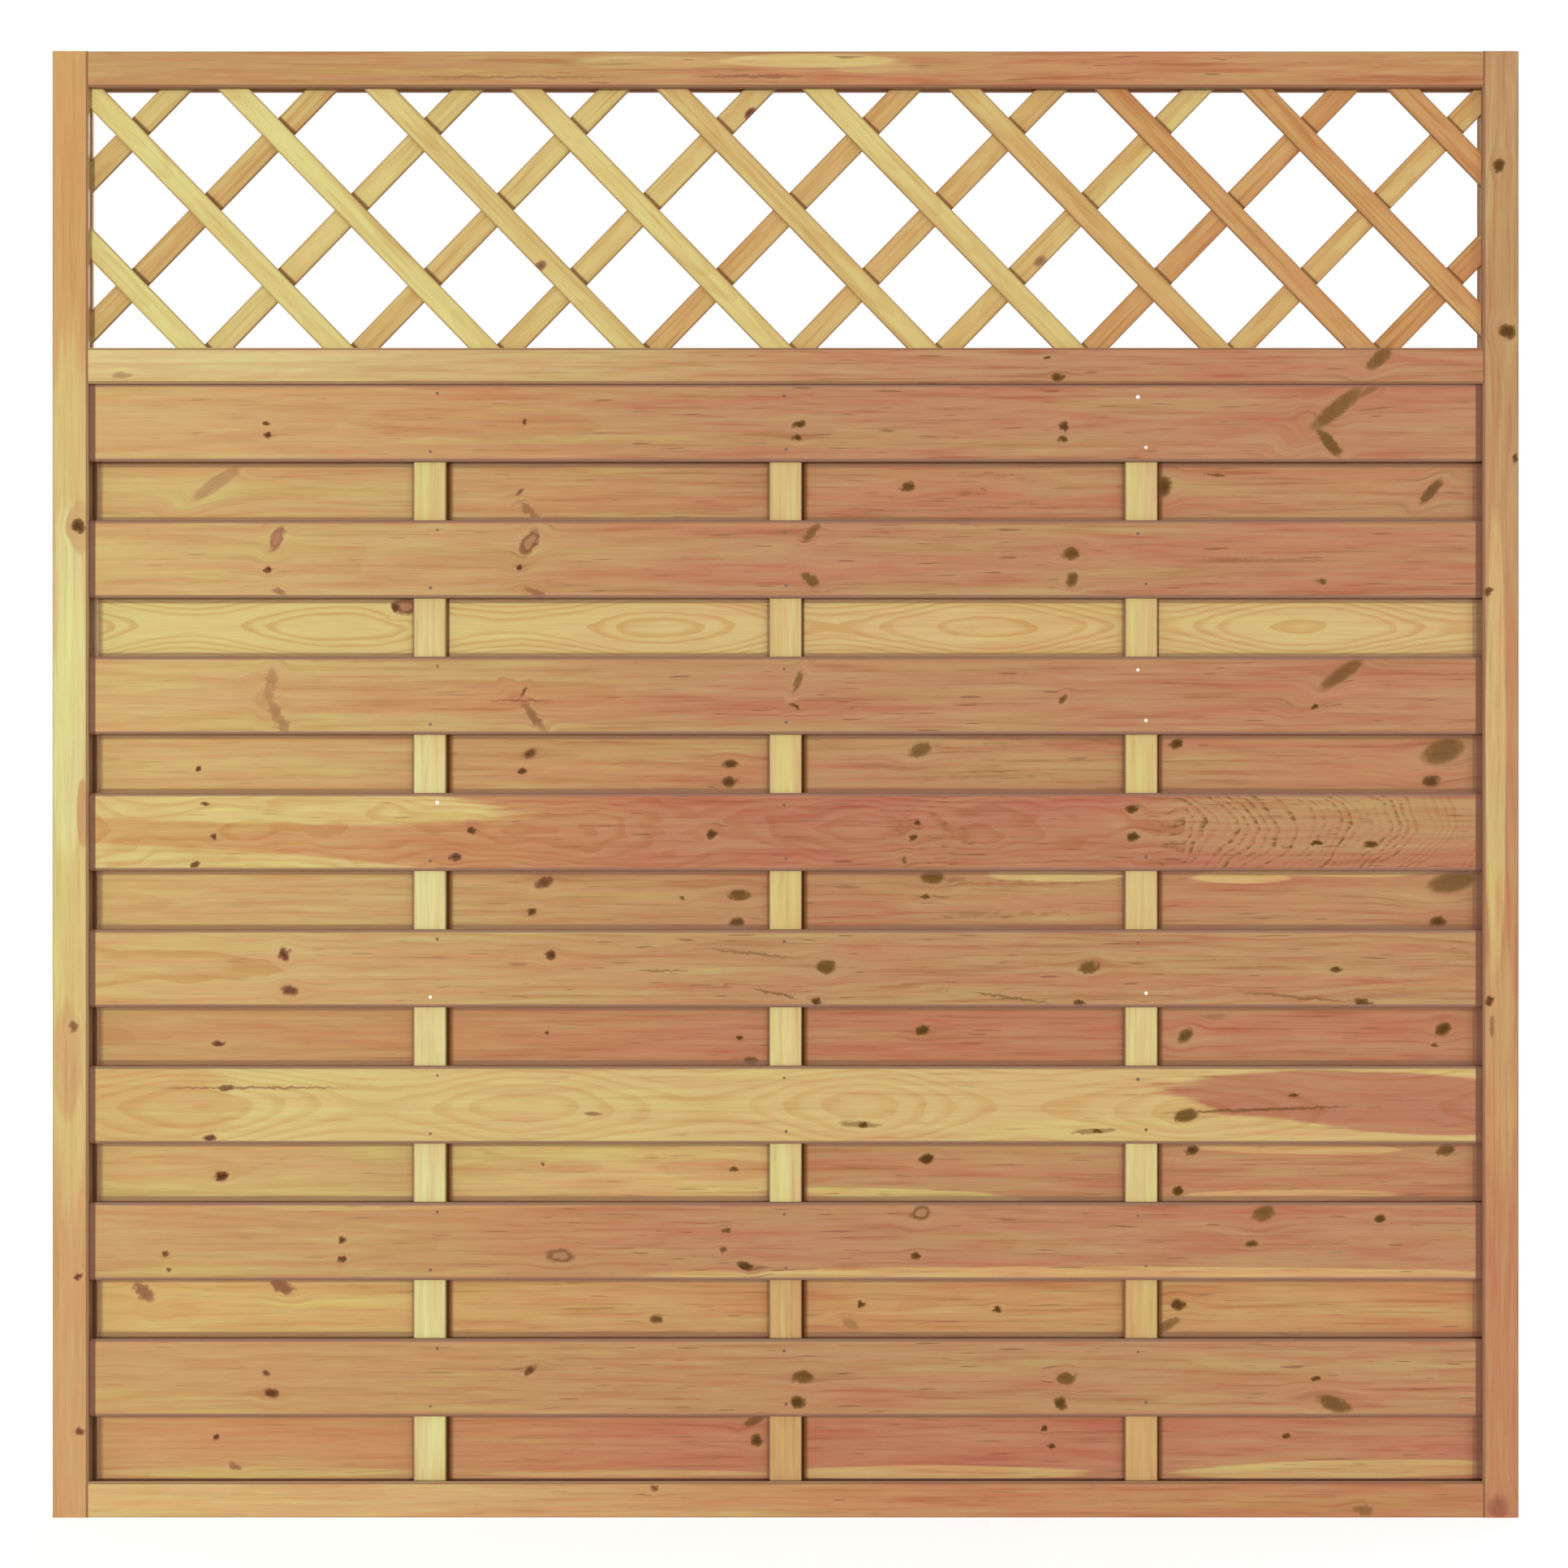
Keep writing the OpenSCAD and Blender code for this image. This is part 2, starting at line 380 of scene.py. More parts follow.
# %% [markdown]
# The colours are those of treated pine and spruce. Boards run from tan at the left of the panel to red brown
# at the right, sapwood is straw coloured, and knots are brown in young wood and olive in old. They could be
# written into each board, but here they have names, like paint in a few pots that every board is given from.

# %% Colours of the treated wood
TAN = srgb(209, 173, 114)
CLAY = srgb(187, 137, 99)
OCHRE = srgb(188, 144, 102)
SAND_TAN = srgb(211, 178, 117)
SAND_CLAY = srgb(190, 142, 101)
HONEY = srgb(202, 159, 106)
RUST = srgb(184, 124, 93)
STRAW = srgb(217, 193, 127)
SAND = srgb(212, 179, 119)
PALE = srgb(224, 214, 150)
# Painted shade and painted shadow for the brown lines at arrises, laps and posts
BROWN_LINE = srgb(136, 100, 80)
ARRIS_LINE = srgb(150, 113, 93)
POST_LINE = srgb(120, 80, 64)
# Painted shadow that the battens cast on the slats behind them
SHADOW_BROWN = srgb(112, 66, 26)
# Painted shade on the groove sides of the frame
GROOVE_SHADE = srgb(186, 138, 108)
# Painted light: a paler wood laid where shade falls, to lift it
LIGHT_IN_SHADE = srgb(232, 198, 158)
KNOT_BROWN = srgb(160, 97, 80)
KNOT_OLIVE = srgb(126, 92, 44)
KNOT_DARK = srgb(84, 52, 14)
HEART_PINK = srgb(184, 126, 96)
SPLIT_BROWN = srgb(122, 78, 52)
print("tan as the nodes take it:", [round(part, 3) for part in TAN[:3]])


# %% [markdown]
# A board may have a dozen knots. Each is one instance of the knot group, and the row of them ends in three
# values: how much knot there is at a point, how dark it is, and how far the grain is pushed aside. A ring
# knot, whose middle is paler than its rim, gets a second, smaller row for the pale hearts.

# %% Helpers that put knots in a board
ANY_DEPTH = 1000.0
BIG_KNOT = 12
SMALL_KNOT_DARKNESS = 0.9
BIG_KNOT_DARKNESS = 0.35
HOLLOW = 0.0
HEART_SIZE = 0.55
HEART_STRENGTH = 0.75
WOBBLES_PER_METRE = 150.0
WOBBLE = (0.013, 0, 0.0055)


def uneven(tree, place):
    """A point moved a little by noise, so that what is drawn from it has an uneven outline."""
    wires = {"Vector": place, "Scale": WOBBLES_PER_METRE, "Detail": 2.0}
    noise = add_node(tree, "ShaderNodeTexNoise", wires).outputs[0]
    wires = {0: WOBBLE, 3: minus(tree, noise, 0.5)}
    step = add_node(tree, "ShaderNodeVectorMath", wires, operation="SCALE").outputs[0]
    return moved_by(tree, place, step)


def chain_knots(tree, place, height, knots):
    """Puts knots in a row. Each is (along, up, half length, half height, turn, strength) in mm and degrees,
    and a last number, where there is one, says how dark its heart is."""
    so_far = {}
    made = None
    for along, up, half_long, half_high, turn, strength, *darkness in knots:
        usual = strength * (SMALL_KNOT_DARKNESS if half_long < BIG_KNOT else BIG_KNOT_DARKNESS)
        made = use_group(tree, knot, {
            "Place": place,
            "Height": height,
            "Middle": (along * MM, 0, up * MM),
            "Middle Height": up * MM,
            "Half Size": (half_long * MM, ANY_DEPTH, half_high * MM),
            "Turn": (0, -math.radians(turn), 0),
            "Strength": strength,
            "Darkness": darkness[0] if darkness else usual,
            **so_far,
        })
        so_far = {"Core So Far": made["Core"], "Dark So Far": made["Dark"], "Push So Far": made["Push"]}
    return made


def pale_hearts(knots):
    """The knots that lie inside the ring knots of a board."""
    hearts = []
    for along, up, half_long, half_high, turn, strength, *darkness in knots:
        if darkness == [HOLLOW]:
            size = (half_long * HEART_SIZE, half_high * HEART_SIZE)
            hearts.append((along, up, *size, turn, strength * HEART_STRENGTH, 0.0))
    return hearts


# %% [markdown]
# The rest of a finish is laid on in turns, as a painter would: patches of other wood, tints where the figure
# is strong, dark flecks and splits, knots and at last the lines at the edges. Each turn is a small function
# that takes the colour so far and gives it back changed, so a turn can be left out or moved.

# %% Helpers that start a finish
def new_material(name):
    """A material with its node tree and its shader."""
    material = bpy.data.materials.new(name)
    material.use_nodes = True
    return material, material.node_tree, material.node_tree.nodes["Principled BSDF"]


def along_board(tree, centre, upright):
    """Object coordinates with X along the grain and Z from the middle of the board."""
    axes = parts_of(tree, add_node(tree, "ShaderNodeTexCoord").outputs["Object"])
    along, across = (axes["Z"], axes["X"]) if upright else (axes["X"], axes["Z"])
    return point_of(tree, along, axes["Y"], minus(tree, across, centre))


# %% Helpers that lay on patches, tints and flecks
RAGGEDNESS = 1.2
PATCH_EDGE = (0.2, 0.7)


def lay_patches(tree, colour, place, height, figure, patches):
    """Lays patches of another colour, ragged along the grain. Each is a colour and then what a knot has."""
    ragged = times_plus(tree, figure["Mottle"], RAGGEDNESS, -RAGGEDNESS / 2)
    for patch_colour, *zone in patches:
        patch = chain_knots(tree, place, height, [(*zone, 0.0)])
        share = soft_step(tree, plus(tree, patch["Core"], ragged), *PATCH_EDGE)
        colour = lay_over(tree, times(tree, share, zone[-1]), colour, patch_colour)
    return colour


def tint_figure(tree, colour, figure, rows):
    """Tints the wood by its figure. A row is a pattern, where its tint starts and is full, how strong it is
    and the tint."""
    for pattern, starts, full, strength, tint in rows:
        share = times(tree, soft_step(tree, figure[pattern], starts, full), strength)
        colour = lay_over(tree, share, colour, tint + (1.0,), "MULTIPLY")
    return colour


FLECK_FADE = 60


def draw_flecks(tree, colour, along, figure, flecks):
    """Draws dark flecks of resin on the late wood. Each row is a start and a stop in mm, and an amount."""
    for start, stop, amount in flecks:
        shown = times(tree, soft_step(tree, along, start * MM, (start + FLECK_FADE) * MM),
                      soft_step(tree, along, stop * MM, (stop - FLECK_FADE) * MM))
        shown = times(tree, times(tree, shown, figure["Fleck"]), amount)
        colour = lay_over(tree, shown, colour, KNOT_OLIVE)
    return colour


# %% Helpers that draw knots and lines, and the surface
def draw_knots(tree, colour, chained, figure, across_panel):
    """Colours the knots: brown at the left of the panel, olive at the right, grained and dark inside."""
    knot_colour = lay_over(tree, across_panel, KNOT_BROWN, KNOT_OLIVE)
    knot_colour = tint_figure(tree, knot_colour, figure, [("Fibre", 0.42, 0.6, 0.5, (0.72, 0.62, 0.56))])
    colour = lay_over(tree, chained["Core"], colour, knot_colour)
    return lay_over(tree, chained["Dark"], colour, KNOT_DARK)


def draw_lines(tree, colour, axes, lines):
    """Draws edge lines. Each is how to measure, where it starts, its softness, on which face, its strength
    and its colour."""
    for distance, start, softness, face, strength, line_colour in lines:
        wires = {"Distance": distance(tree, axes), "Starts At": start * MM, "Softness": softness * MM}
        line = use_group(tree, edge_line, wires)["Line"]
        if face is not None:
            line = times(tree, line, face(tree, axes))
        colour = lay_over(tree, times(tree, line, strength), colour, line_colour)
    return colour


ROUGHNESS = (0.62, 0.74)
SHINE = 0.1
FIBRE_HEIGHT = 0.0004
FIBRE_STRENGTH = 0.35


def planed_surface(tree, principled, figure, place):
    """Makes the surface matt, duller in the streaks, with the fine raised fibres that a planer leaves."""
    roughness = soft_step(tree, figure["Streak"], 0.3, 0.7, *ROUGHNESS)
    tree.links.new(roughness, principled.inputs["Roughness"])
    principled.inputs["Specular IOR Level"].default_value = SHINE
    height = soft_noise(tree, place, FIBRES, 1.0)
    wires = {"Strength": FIBRE_STRENGTH, "Distance": FIBRE_HEIGHT, "Height": height}
    bump = add_node(tree, "ShaderNodeBump", wires)
    tree.links.new(bump.outputs[0], principled.inputs["Normal"])


# %% [markdown]
# One function makes the finish of any board, because all are the same treated softwood and differ only in
# the log, the side of the log, the knots and the colour. Redder tints are held back at the left of the
# panel, where the wood is younger.

# %% The tints and the log of one board
def board_tints(tree, ripe, late, blush, lively):
    """The rows that tint_figure takes for a board."""
    return (
        ("Drift", 0.48, 0.66, times(tree, ripe, blush), (1.01, 0.84, 0.87)),
        ("Drift", 0.48, 0.30, 0.8 * lively, (1.00, 1.14, 1.02)),
        ("Mottle", 0.50, 0.72, times(tree, ripe, 0.9 * lively), (0.97, 0.78, 0.80)),
        ("Mottle", 0.48, 0.28, 0.75 * lively, (1.03, 1.18, 1.10)),
        ("Streak", 0.50, 0.74, times(tree, ripe, 0.85 * lively), (0.80, 0.68, 0.64)),
        ("Streak", 0.48, 0.28, 0.6 * lively, (1.06, 1.14, 1.12)),
        ("Late Wood", 0.0, 1.0, late, (0.88, 0.70, 0.58)),
        ("Fibre", 0.45, 0.75, 0.5, (0.92, 0.90, 0.88)),
    )


def log_of(log, place, pith, ring, waver, kink, dip, swell):
    """What the softwood group takes for one board, from sizes in mm."""
    shape = {"Place": place, "Log Number": float(log), "Pith Depth": pith[0] * MM,
             "Pith Height": pith[1] * MM, "Ring Width": ring * MM, "Waver": waver * MM, "Kink": kink * MM}
    if dip:
        shape |= {"Dip Start": dip[0] * MM, "Dip Length": dip[1] * MM, "Dip Depth": dip[2] * MM}
    if swell:
        shape |= {"Swell Middle": swell[0] * MM, "Swell Length": swell[1] * MM}
        shape |= {"Swell Depth": swell[2] * MM}
    return shape


# %% The finish of one board
RIPE_AT_LEFT = 0.4
RIPE_UPRIGHT = 0.6
SPLITS_AT_LEFT = 0.3


def finish_board(name, node, log, left=TAN, right=CLAY, patches=(), knots=(), upright=False, pith=(60, 0),
                 ring=6, waver=8, kink=1.2, dip=None, swell=None, lines=(), late=0.3, flecks=(), blush=0.7,
                 lively=1.0, splits=0.6, turns_by=1000):
    """Gives a timber its wood. pith, ring, waver, kink, dip and swell shape the rings, in mm. late, blush,
    lively and splits are how strong the rings, the redness, the streaks and the short splits are. turns_by
    is where along the panel the colour has turned."""
    material, tree, principled = new_material(name)
    low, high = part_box(node)
    middle = (low + high) / 2
    place = along_board(tree, middle.x if upright else middle.z, upright)
    axes = parts_of(tree, place)
    knot_place = uneven(tree, place)
    chained = chain_knots(tree, knot_place, axes["Z"], knots)
    bent = moved_by(tree, place, point_of(tree, z=chained["Push"])) if chained else place
    figure = use_group(tree, softwood, log_of(log, bent, pith, ring, waver, kink, dip, swell))

    span = (low.z, high.z) if upright else (cad_low.x, cad_low.x + turns_by * MM)
    across_panel = soft_step(tree, axes["X"], *span)
    riper = times_plus(tree, across_panel, 1 - RIPE_AT_LEFT, RIPE_AT_LEFT)
    ripe = RIPE_UPRIGHT if upright else riper
    colour = lay_over(tree, across_panel, left, right)
    colour = lay_patches(tree, colour, bent, axes["Z"], figure, patches)
    colour = tint_figure(tree, colour, figure, board_tints(tree, ripe, late, blush, lively))
    colour = draw_flecks(tree, colour, axes["X"], figure, flecks)
    if not upright:
        shown = times_plus(tree, across_panel, 1 - SPLITS_AT_LEFT, SPLITS_AT_LEFT)
        shown = times(tree, times(tree, shown, figure["Split"]), splits)
        colour = lay_over(tree, shown, colour, SPLIT_BROWN)
    if chained:
        colour = draw_knots(tree, colour, chained, figure, across_panel)
    if pale_hearts(knots):
        heart = chain_knots(tree, knot_place, axes["Z"], pale_hearts(knots))
        colour = lay_over(tree, heart["Core"], colour, lay_over(tree, across_panel, HEART_PINK, OCHRE))
    colour = draw_lines(tree, colour, axes, lines)
    tree.links.new(colour, principled.inputs["Base Color"])
    planed_surface(tree, principled, figure, place)
    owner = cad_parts[node]
    owner.data.materials.clear()
    owner.data.materials.append(material)


# %% [markdown]
# The brown lines lie in fixed places. Every slat has one along each long arris, painted shade of the rounded
# edge along with the treatment there. Where slats of the other layer lap it, the face that looks inwards has
# a line just outside the lap, painted shadow of the slat in front, and it is darker where a post or a batten
# stands against it, painted shadow of that post or batten. Their places could be written down for each slat,
# but they follow from the timbers, so they are measured on the imported model and move with it.

# %% Sizes that the brown lines follow
def size_mm(node):
    """The size of a node along X, Y and Z, in mm."""
    low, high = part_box(node)
    return [(high[axis] - low[axis]) / MM for axis in range(3)]


SLAT_HALF = size_mm("front_slat_1")[2] / 2
SLAT_PITCH = (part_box("front_slat_1")[0].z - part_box("front_slat_2")[0].z) / MM
LAP_STARTS = SLAT_PITCH / 2 - SLAT_HALF
BATTEN_HALF = size_mm("batten_1")[0] / 2
BATTEN_PITCH = (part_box("batten_2")[0].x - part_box("batten_1")[0].x) / MM
INNER_FACE = size_mm("batten_1")[1] / 2
POST_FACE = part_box("left_stile")[1].x / MM
RAIL_HALF = size_mm("top_rail")[2] / 2
print("slat pitch, mm:", round(SLAT_PITCH, 2), " lap starts, mm:", round(LAP_STARTS, 2))


# %% [markdown]
# Each line has to know how far out a point is, from the middle of its board, of the panel or of a gap. Every
# way to measure is a small function. A line is then one row: the way, where the line starts and how soft it
# is in mm, on which face it lies, its strength and its colour.

# %% Ways to measure how far out a point is
def from_middle(tree, axes):
    """How far a point is from the middle of its board, across it."""
    return reckon(tree, "ABSOLUTE", axes["Z"])


def from_panel_middle(tree, axes):
    """How far a point is from the middle of the panel, to the left or right."""
    return reckon(tree, "ABSOLUTE", minus(tree, axes["X"], panel_middle.x))


def from_middle_up(tree, axes):
    """How far a point is above the middle of its board, or to the right of the middle of its post."""
    return axes["Z"]


def from_middle_down(tree, axes):
    """How far a point is below the middle of its board, or to the left of the middle of its post."""
    return times(tree, axes["Z"], -1.0)


def from_the_right(tree, axes):
    """A number that grows from right to left across the panel."""
    return times(tree, axes["X"], -1.0)


def past_batten(tree, axes, start):
    """How far a point is to the right of the same place on the last batten before it."""
    return reckon(tree, "FLOORED_MODULO", minus(tree, axes["X"], start), BATTEN_PITCH * MM)


def from_batten_gap(tree, axes):
    """How far a point is from the middle of the gap between two battens."""
    low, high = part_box("batten_1")
    past = past_batten(tree, axes, (low.x + high.x) / 2)
    return reckon(tree, "ABSOLUTE", minus(tree, past, BATTEN_PITCH / 2 * MM))


def towards_batten(tree, axes):
    """Below 0 by how far a point is to the right of the batten on its left, so that it grows towards it."""
    return times(tree, past_batten(tree, axes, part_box("batten_1")[1].x), -1.0)


def on_front_face(tree, axes):
    """1 on the front face of a frame timber, and 0 on its other faces."""
    return soft_step(tree, axes["Y"], cad_low.y + 1.0 * MM, cad_low.y + 0.4 * MM)


def on_inner_face(tree, axes):
    """1 on the face of a slat that touches the battens, and 0 on its other face."""
    deep = reckon(tree, "ABSOLUTE", axes["Y"])
    return soft_step(tree, deep, (INNER_FACE + 1.5) * MM, (INNER_FACE + 0.5) * MM)


# %% The brown lines of the slats
ARRIS_WIDTH = 5.0
LAP_WIDTH = 6.5
POST_WIDTH = 9.0
BATTEN_WIDTH = 4.5
BATTEN_SHADOW_WIDTH = 9.5
LIFTED_STRIP = 8
POST_SHADOW_STRIP = 15
# Painted shade of the rounded long arrises, along with the treatment that soaks in there
ARRIS = (from_middle, SLAT_HALF - ARRIS_WIDTH, 2.2, None, 0.9, ARRIS_LINE)
# Painted shadow cast by the slats of the other layer, just outside the lap
LAP = (from_middle, LAP_STARTS - LAP_WIDTH, 2.5, on_inner_face, 0.65, BROWN_LINE)
LAP_ABOVE = (from_middle_up, *LAP[1:])
NEAR_POST = panel_middle.x / MM - POST_FACE - POST_WIDTH
# Painted shade beside the posts, at the ends of the slats
AT_POSTS = (from_panel_middle, NEAR_POST, 2.0, None, 0.9, POST_LINE)
BEHIND_POSTS = (from_panel_middle, NEAR_POST, 2.0, None, 0.45, POST_LINE)
NEAR_BATTEN = BATTEN_PITCH / 2 - BATTEN_HALF - BATTEN_WIDTH
# Painted shade beside the battens, and the painted shadow that each batten casts on its right
AT_BATTENS = (from_batten_gap, NEAR_BATTEN, 3.0, on_inner_face, 0.6, POST_LINE)
BATTEN_SHADOW = (towards_batten, -BATTEN_SHADOW_WIDTH, 5.0, on_inner_face, 0.85, SHADOW_BROWN)
# Painted shadow of the left post on the back slats, then a paler strip inside it, painted light that lifts
# that shadow
LEFT_POST_SHADOW = (from_the_right, -POST_FACE - POST_SHADOW_STRIP, 5.0, on_inner_face, 0.6, POST_LINE)
LEFT_SHADOW_LIFT = (from_the_right, -POST_FACE - LIFTED_STRIP, 2.0, on_inner_face, 0.9, LIGHT_IN_SHADE)
FRONT_LINES = [ARRIS, LAP, AT_POSTS]
BACK_LINES = [ARRIS, LAP, BEHIND_POSTS, LEFT_POST_SHADOW, LEFT_SHADOW_LIFT, AT_BATTENS, BATTEN_SHADOW]
# The same lines without the painted shadow that the battens cast
BACK_LINES_WITHOUT_BATTEN_SHADOW = BACK_LINES[:-1]
LOWEST_BACK_LINES = [ARRIS, LAP_ABOVE, *BACK_LINES[2:]]
print("lines on a front slat:", len(FRONT_LINES), " on a back slat:", len(BACK_LINES))

# %% [markdown]
# Each front slat is its own board, with the knots that the photograph shows on it. The five that came from
# next to each other in one tree have their knots in the same places, because a whorl of branches runs
# through all of them. Knots are written as sizes: how far along from the left face of the panel, how far
# above the middle of the slat, half length, half height, turn and strength. A few have one number more,
# which says how dark the heart is, and HOLLOW there makes a ring knot with a paler heart.

# %% The front slats
FRONT_SLATS = {
    1: dict(knots=[(262, -1, 5, 3, 0, 0.9), (264, -15, 4.5, 3.5, 0, 1), (579, 1, 4, 4, 0, 0.9),
                   (917, -2, 8, 4.5, 10, 1), (915, -18, 6, 4, 0, 1), (1242, -5, 5, 7, 20, 0.9),
                   (1241, -20, 6, 4.5, 0, 0.9), (1578, 18, 40, 9.5, 40, 0.8, 0.2),
                   (1618, 40, 20, 4, 30, 0.5), (1568, -24, 22, 7.5, -50, 0.9)]),
    2: dict(knots=[(275, 25, 16, 7.5, 65, 0.85, HOLLOW), (264, -13, 5, 4, 0, 1),
                   (278, -40, 9, 4, -20, 0.4), (585, 20, 18, 8, 60, 0.95, HOLLOW),
                   (574, -10, 3.5, 3.5, 0, 1), (593, -41, 16, 4.5, -25, 0.5),
                   (932, 33, 14, 5, 48, 0.7), (930, -25, 12, 6.5, -35, 0.9), (1251, 7, 11, 8, 15, 0.95, 0.5),
                   (1252, -25, 7, 9, 0, 0.7), (1559, -28, 6, 4, 0, 0.7), (1480, -2, 95, 2.5, 0, 0.25)]),
    3: dict(knots=[(267, 14, 20, 7, 80, 0.4, 0.02), (277, -27, 24, 7, -60, 0.5, 0.05),
                   (577, 4, 7, 2.5, 60, 0.7), (590, -25, 22, 5, -50, 0.6, 0.15),
                   (575, -6, 38, 1.4, 0, 0.55), (915, 17, 15, 4, 68, 0.7),
                   (912, -13, 7, 3.5, -30, 0.8), (1240, -5, 7, 3.5, 55, 0.65), (1584, 27, 32, 8.5, 35, 0.75),
                   (1551, -13, 3.5, 3.5, 0, 1)]),
    4: dict(left=srgb(207, 162, 104), right=RUST, blush=0.45,
            patches=[(STRAW, 150, 38, 420, 24, -2, 0.95), (STRAW, 140, -34, 330, 16, -3, 0.85),
                     (OCHRE, 1570, 12, 280, 36, 0, 0.85)],
            flecks=[(1000, 1150, 0.6), (1330, 1700, 1.0)], ring=6.5, pith=(15, 4), waver=40, kink=4,
            dip=(1390, 400, 240), late=0.6,
            knots=[(185, 34, 6, 3, 0, 0.8), (198, -6, 5, 4, 0, 0.9), (175, -40, 7, 4, 20, 0.8),
                   (515, 2, 5.5, 5, 0, 1), (494, -31, 9, 5.5, 20, 0.9), (808, -3, 6.5, 6, 0, 1),
                   (1062, 11, 4, 4, 0, 0.9), (1056, -7, 5, 4, 0, 0.9), (1046, -35, 4, 6, 0, 0.6),
                   (1325, 28, 8, 5, 0, 1), (1326, -6, 8, 5.5, 10, 1), (1554, -13, 8, 3.5, 0, 1),
                   (1619, -15, 9, 4.5, 0, 1)]),
    5: dict(right=OCHRE, late=0.7, ring=4,
            knots=[(284, 17, 7, 9, 10, 0.95), (291, -27, 10, 7, -10, 0.8), (611, 16, 7.5, 6, 0, 1),
                   (950, 2, 12, 9, 10, 0.95), (937, -41, 6, 5, 0, 1), (1273, 1, 12, 8, 10, 0.95),
                   (1260, -43, 6, 5, 0, 0.9), (1577, -1, 7, 3.5, 0, 0.9), (1609, -41, 11, 5, -10, 0.8),
                   (748, -3, 32, 1.4, 0, 0.5), (862, 18, 52, 1.8, -6, 0.5), (887, -31, 30, 1.8, -12, 0.55),
                   (1176, -36, 48, 1.8, -8, 0.55), (1525, -35, 68, 2, -5, 0.5)]),
    6: dict(left=srgb(217, 193, 129), right=srgb(212, 182, 122), late=0.5, ring=6, pith=(28, -4), waver=14,
            swell=(575, 420, 9), blush=0.2, lively=0.6, splits=0.25,
            patches=[(srgb(208, 168, 110), 60, 0, 170, 70, 0, 0.8), (RUST, 1615, 8, 240, 32, -2, 0.95),
                     (RUST, 1660, -16, 150, 20, -3, 0.9)],
            knots=[(213, 21, 10, 4, 0, 0.7), (245, 21, 110, 1.6, 0, 0.6), (192, -41, 8, 4, 0, 0.9),
                   (663, -11, 12, 2.5, 0, 0.6), (992, -24, 24, 3.5, -3, 0.6, 0.1), (995, -25, 8, 4, 0, 0.9),
                   (1280, -32, 26, 3.5, 3, 0.6, 0.1), (1284, -32, 8, 3.5, 0, 0.9),
                   (1392, -13, 15, 8, 10, 0.95), (1480, -6, 110, 2, 2, 0.7), (1525, 12, 5, 3, 0, 0.9)]),
    7: dict(left=HONEY, patches=[(SAND, 1290, -44, 560, 13, 0, 0.9), (SAND, 500, 46, 330, 7, 1, 0.6)],
            knots=[(138, -15, 5, 4, 0, 0.8), (142, -35, 4, 3, 0, 0.7), (355, 2, 5, 4.5, 0, 0.9),
                   (355, -22, 5, 5, 0, 0.9), (623, -18, 17, 8.5, -5, 0.9, HOLLOW), (827, 13, 6, 3.5, 0, 0.7),
                   (822, -11, 4, 4, 0, 0.7), (851, -30, 10, 5, -20, 1), (1067, 35, 12, 9, 25, 0.9, HOLLOW),
                   (1060, -18, 7, 4.5, 0, 0.95), (1487, 34, 14, 9, 20, 0.85), (1473, -3, 8, 4, 0, 0.8),
                   (1631, 28, 7, 5, 10, 0.95)]),
    8: dict(left=HONEY, right=OCHRE, patches=[(RUST, 1700, 2, 130, 60, 0, 0.4)],
            knots=[(262, 6, 6, 4, 0, 0.8), (268, -19, 9, 6, -15, 0.95), (585, 9, 9, 5, 35, 0.85),
                   (922, 1, 13, 8, 5, 0.95), (915, -30, 10, 7, -20, 0.95), (1245, -1, 12, 7.5, 0, 0.95),
                   (1238, -32, 9, 8, -30, 0.9), (1552, -1, 5, 3, 0, 0.9), (1574, -32, 21, 9, -18, 0.85)]),
}
for number, wood in FRONT_SLATS.items():
    slat = f"front_slat_{number}"
    finish_board(f"treated_{slat}", slat, log=number, lines=FRONT_LINES, **wood)
print("front slats finished:", len(FRONT_SLATS))

# %% [markdown]
# The back slats show between the front ones, and whole from behind. The same function makes them, from logs
# of their own, so that no two slats are alike. The second is nearly all sapwood, pale straw with arches of
# late wood, and the fifth is the reddest.

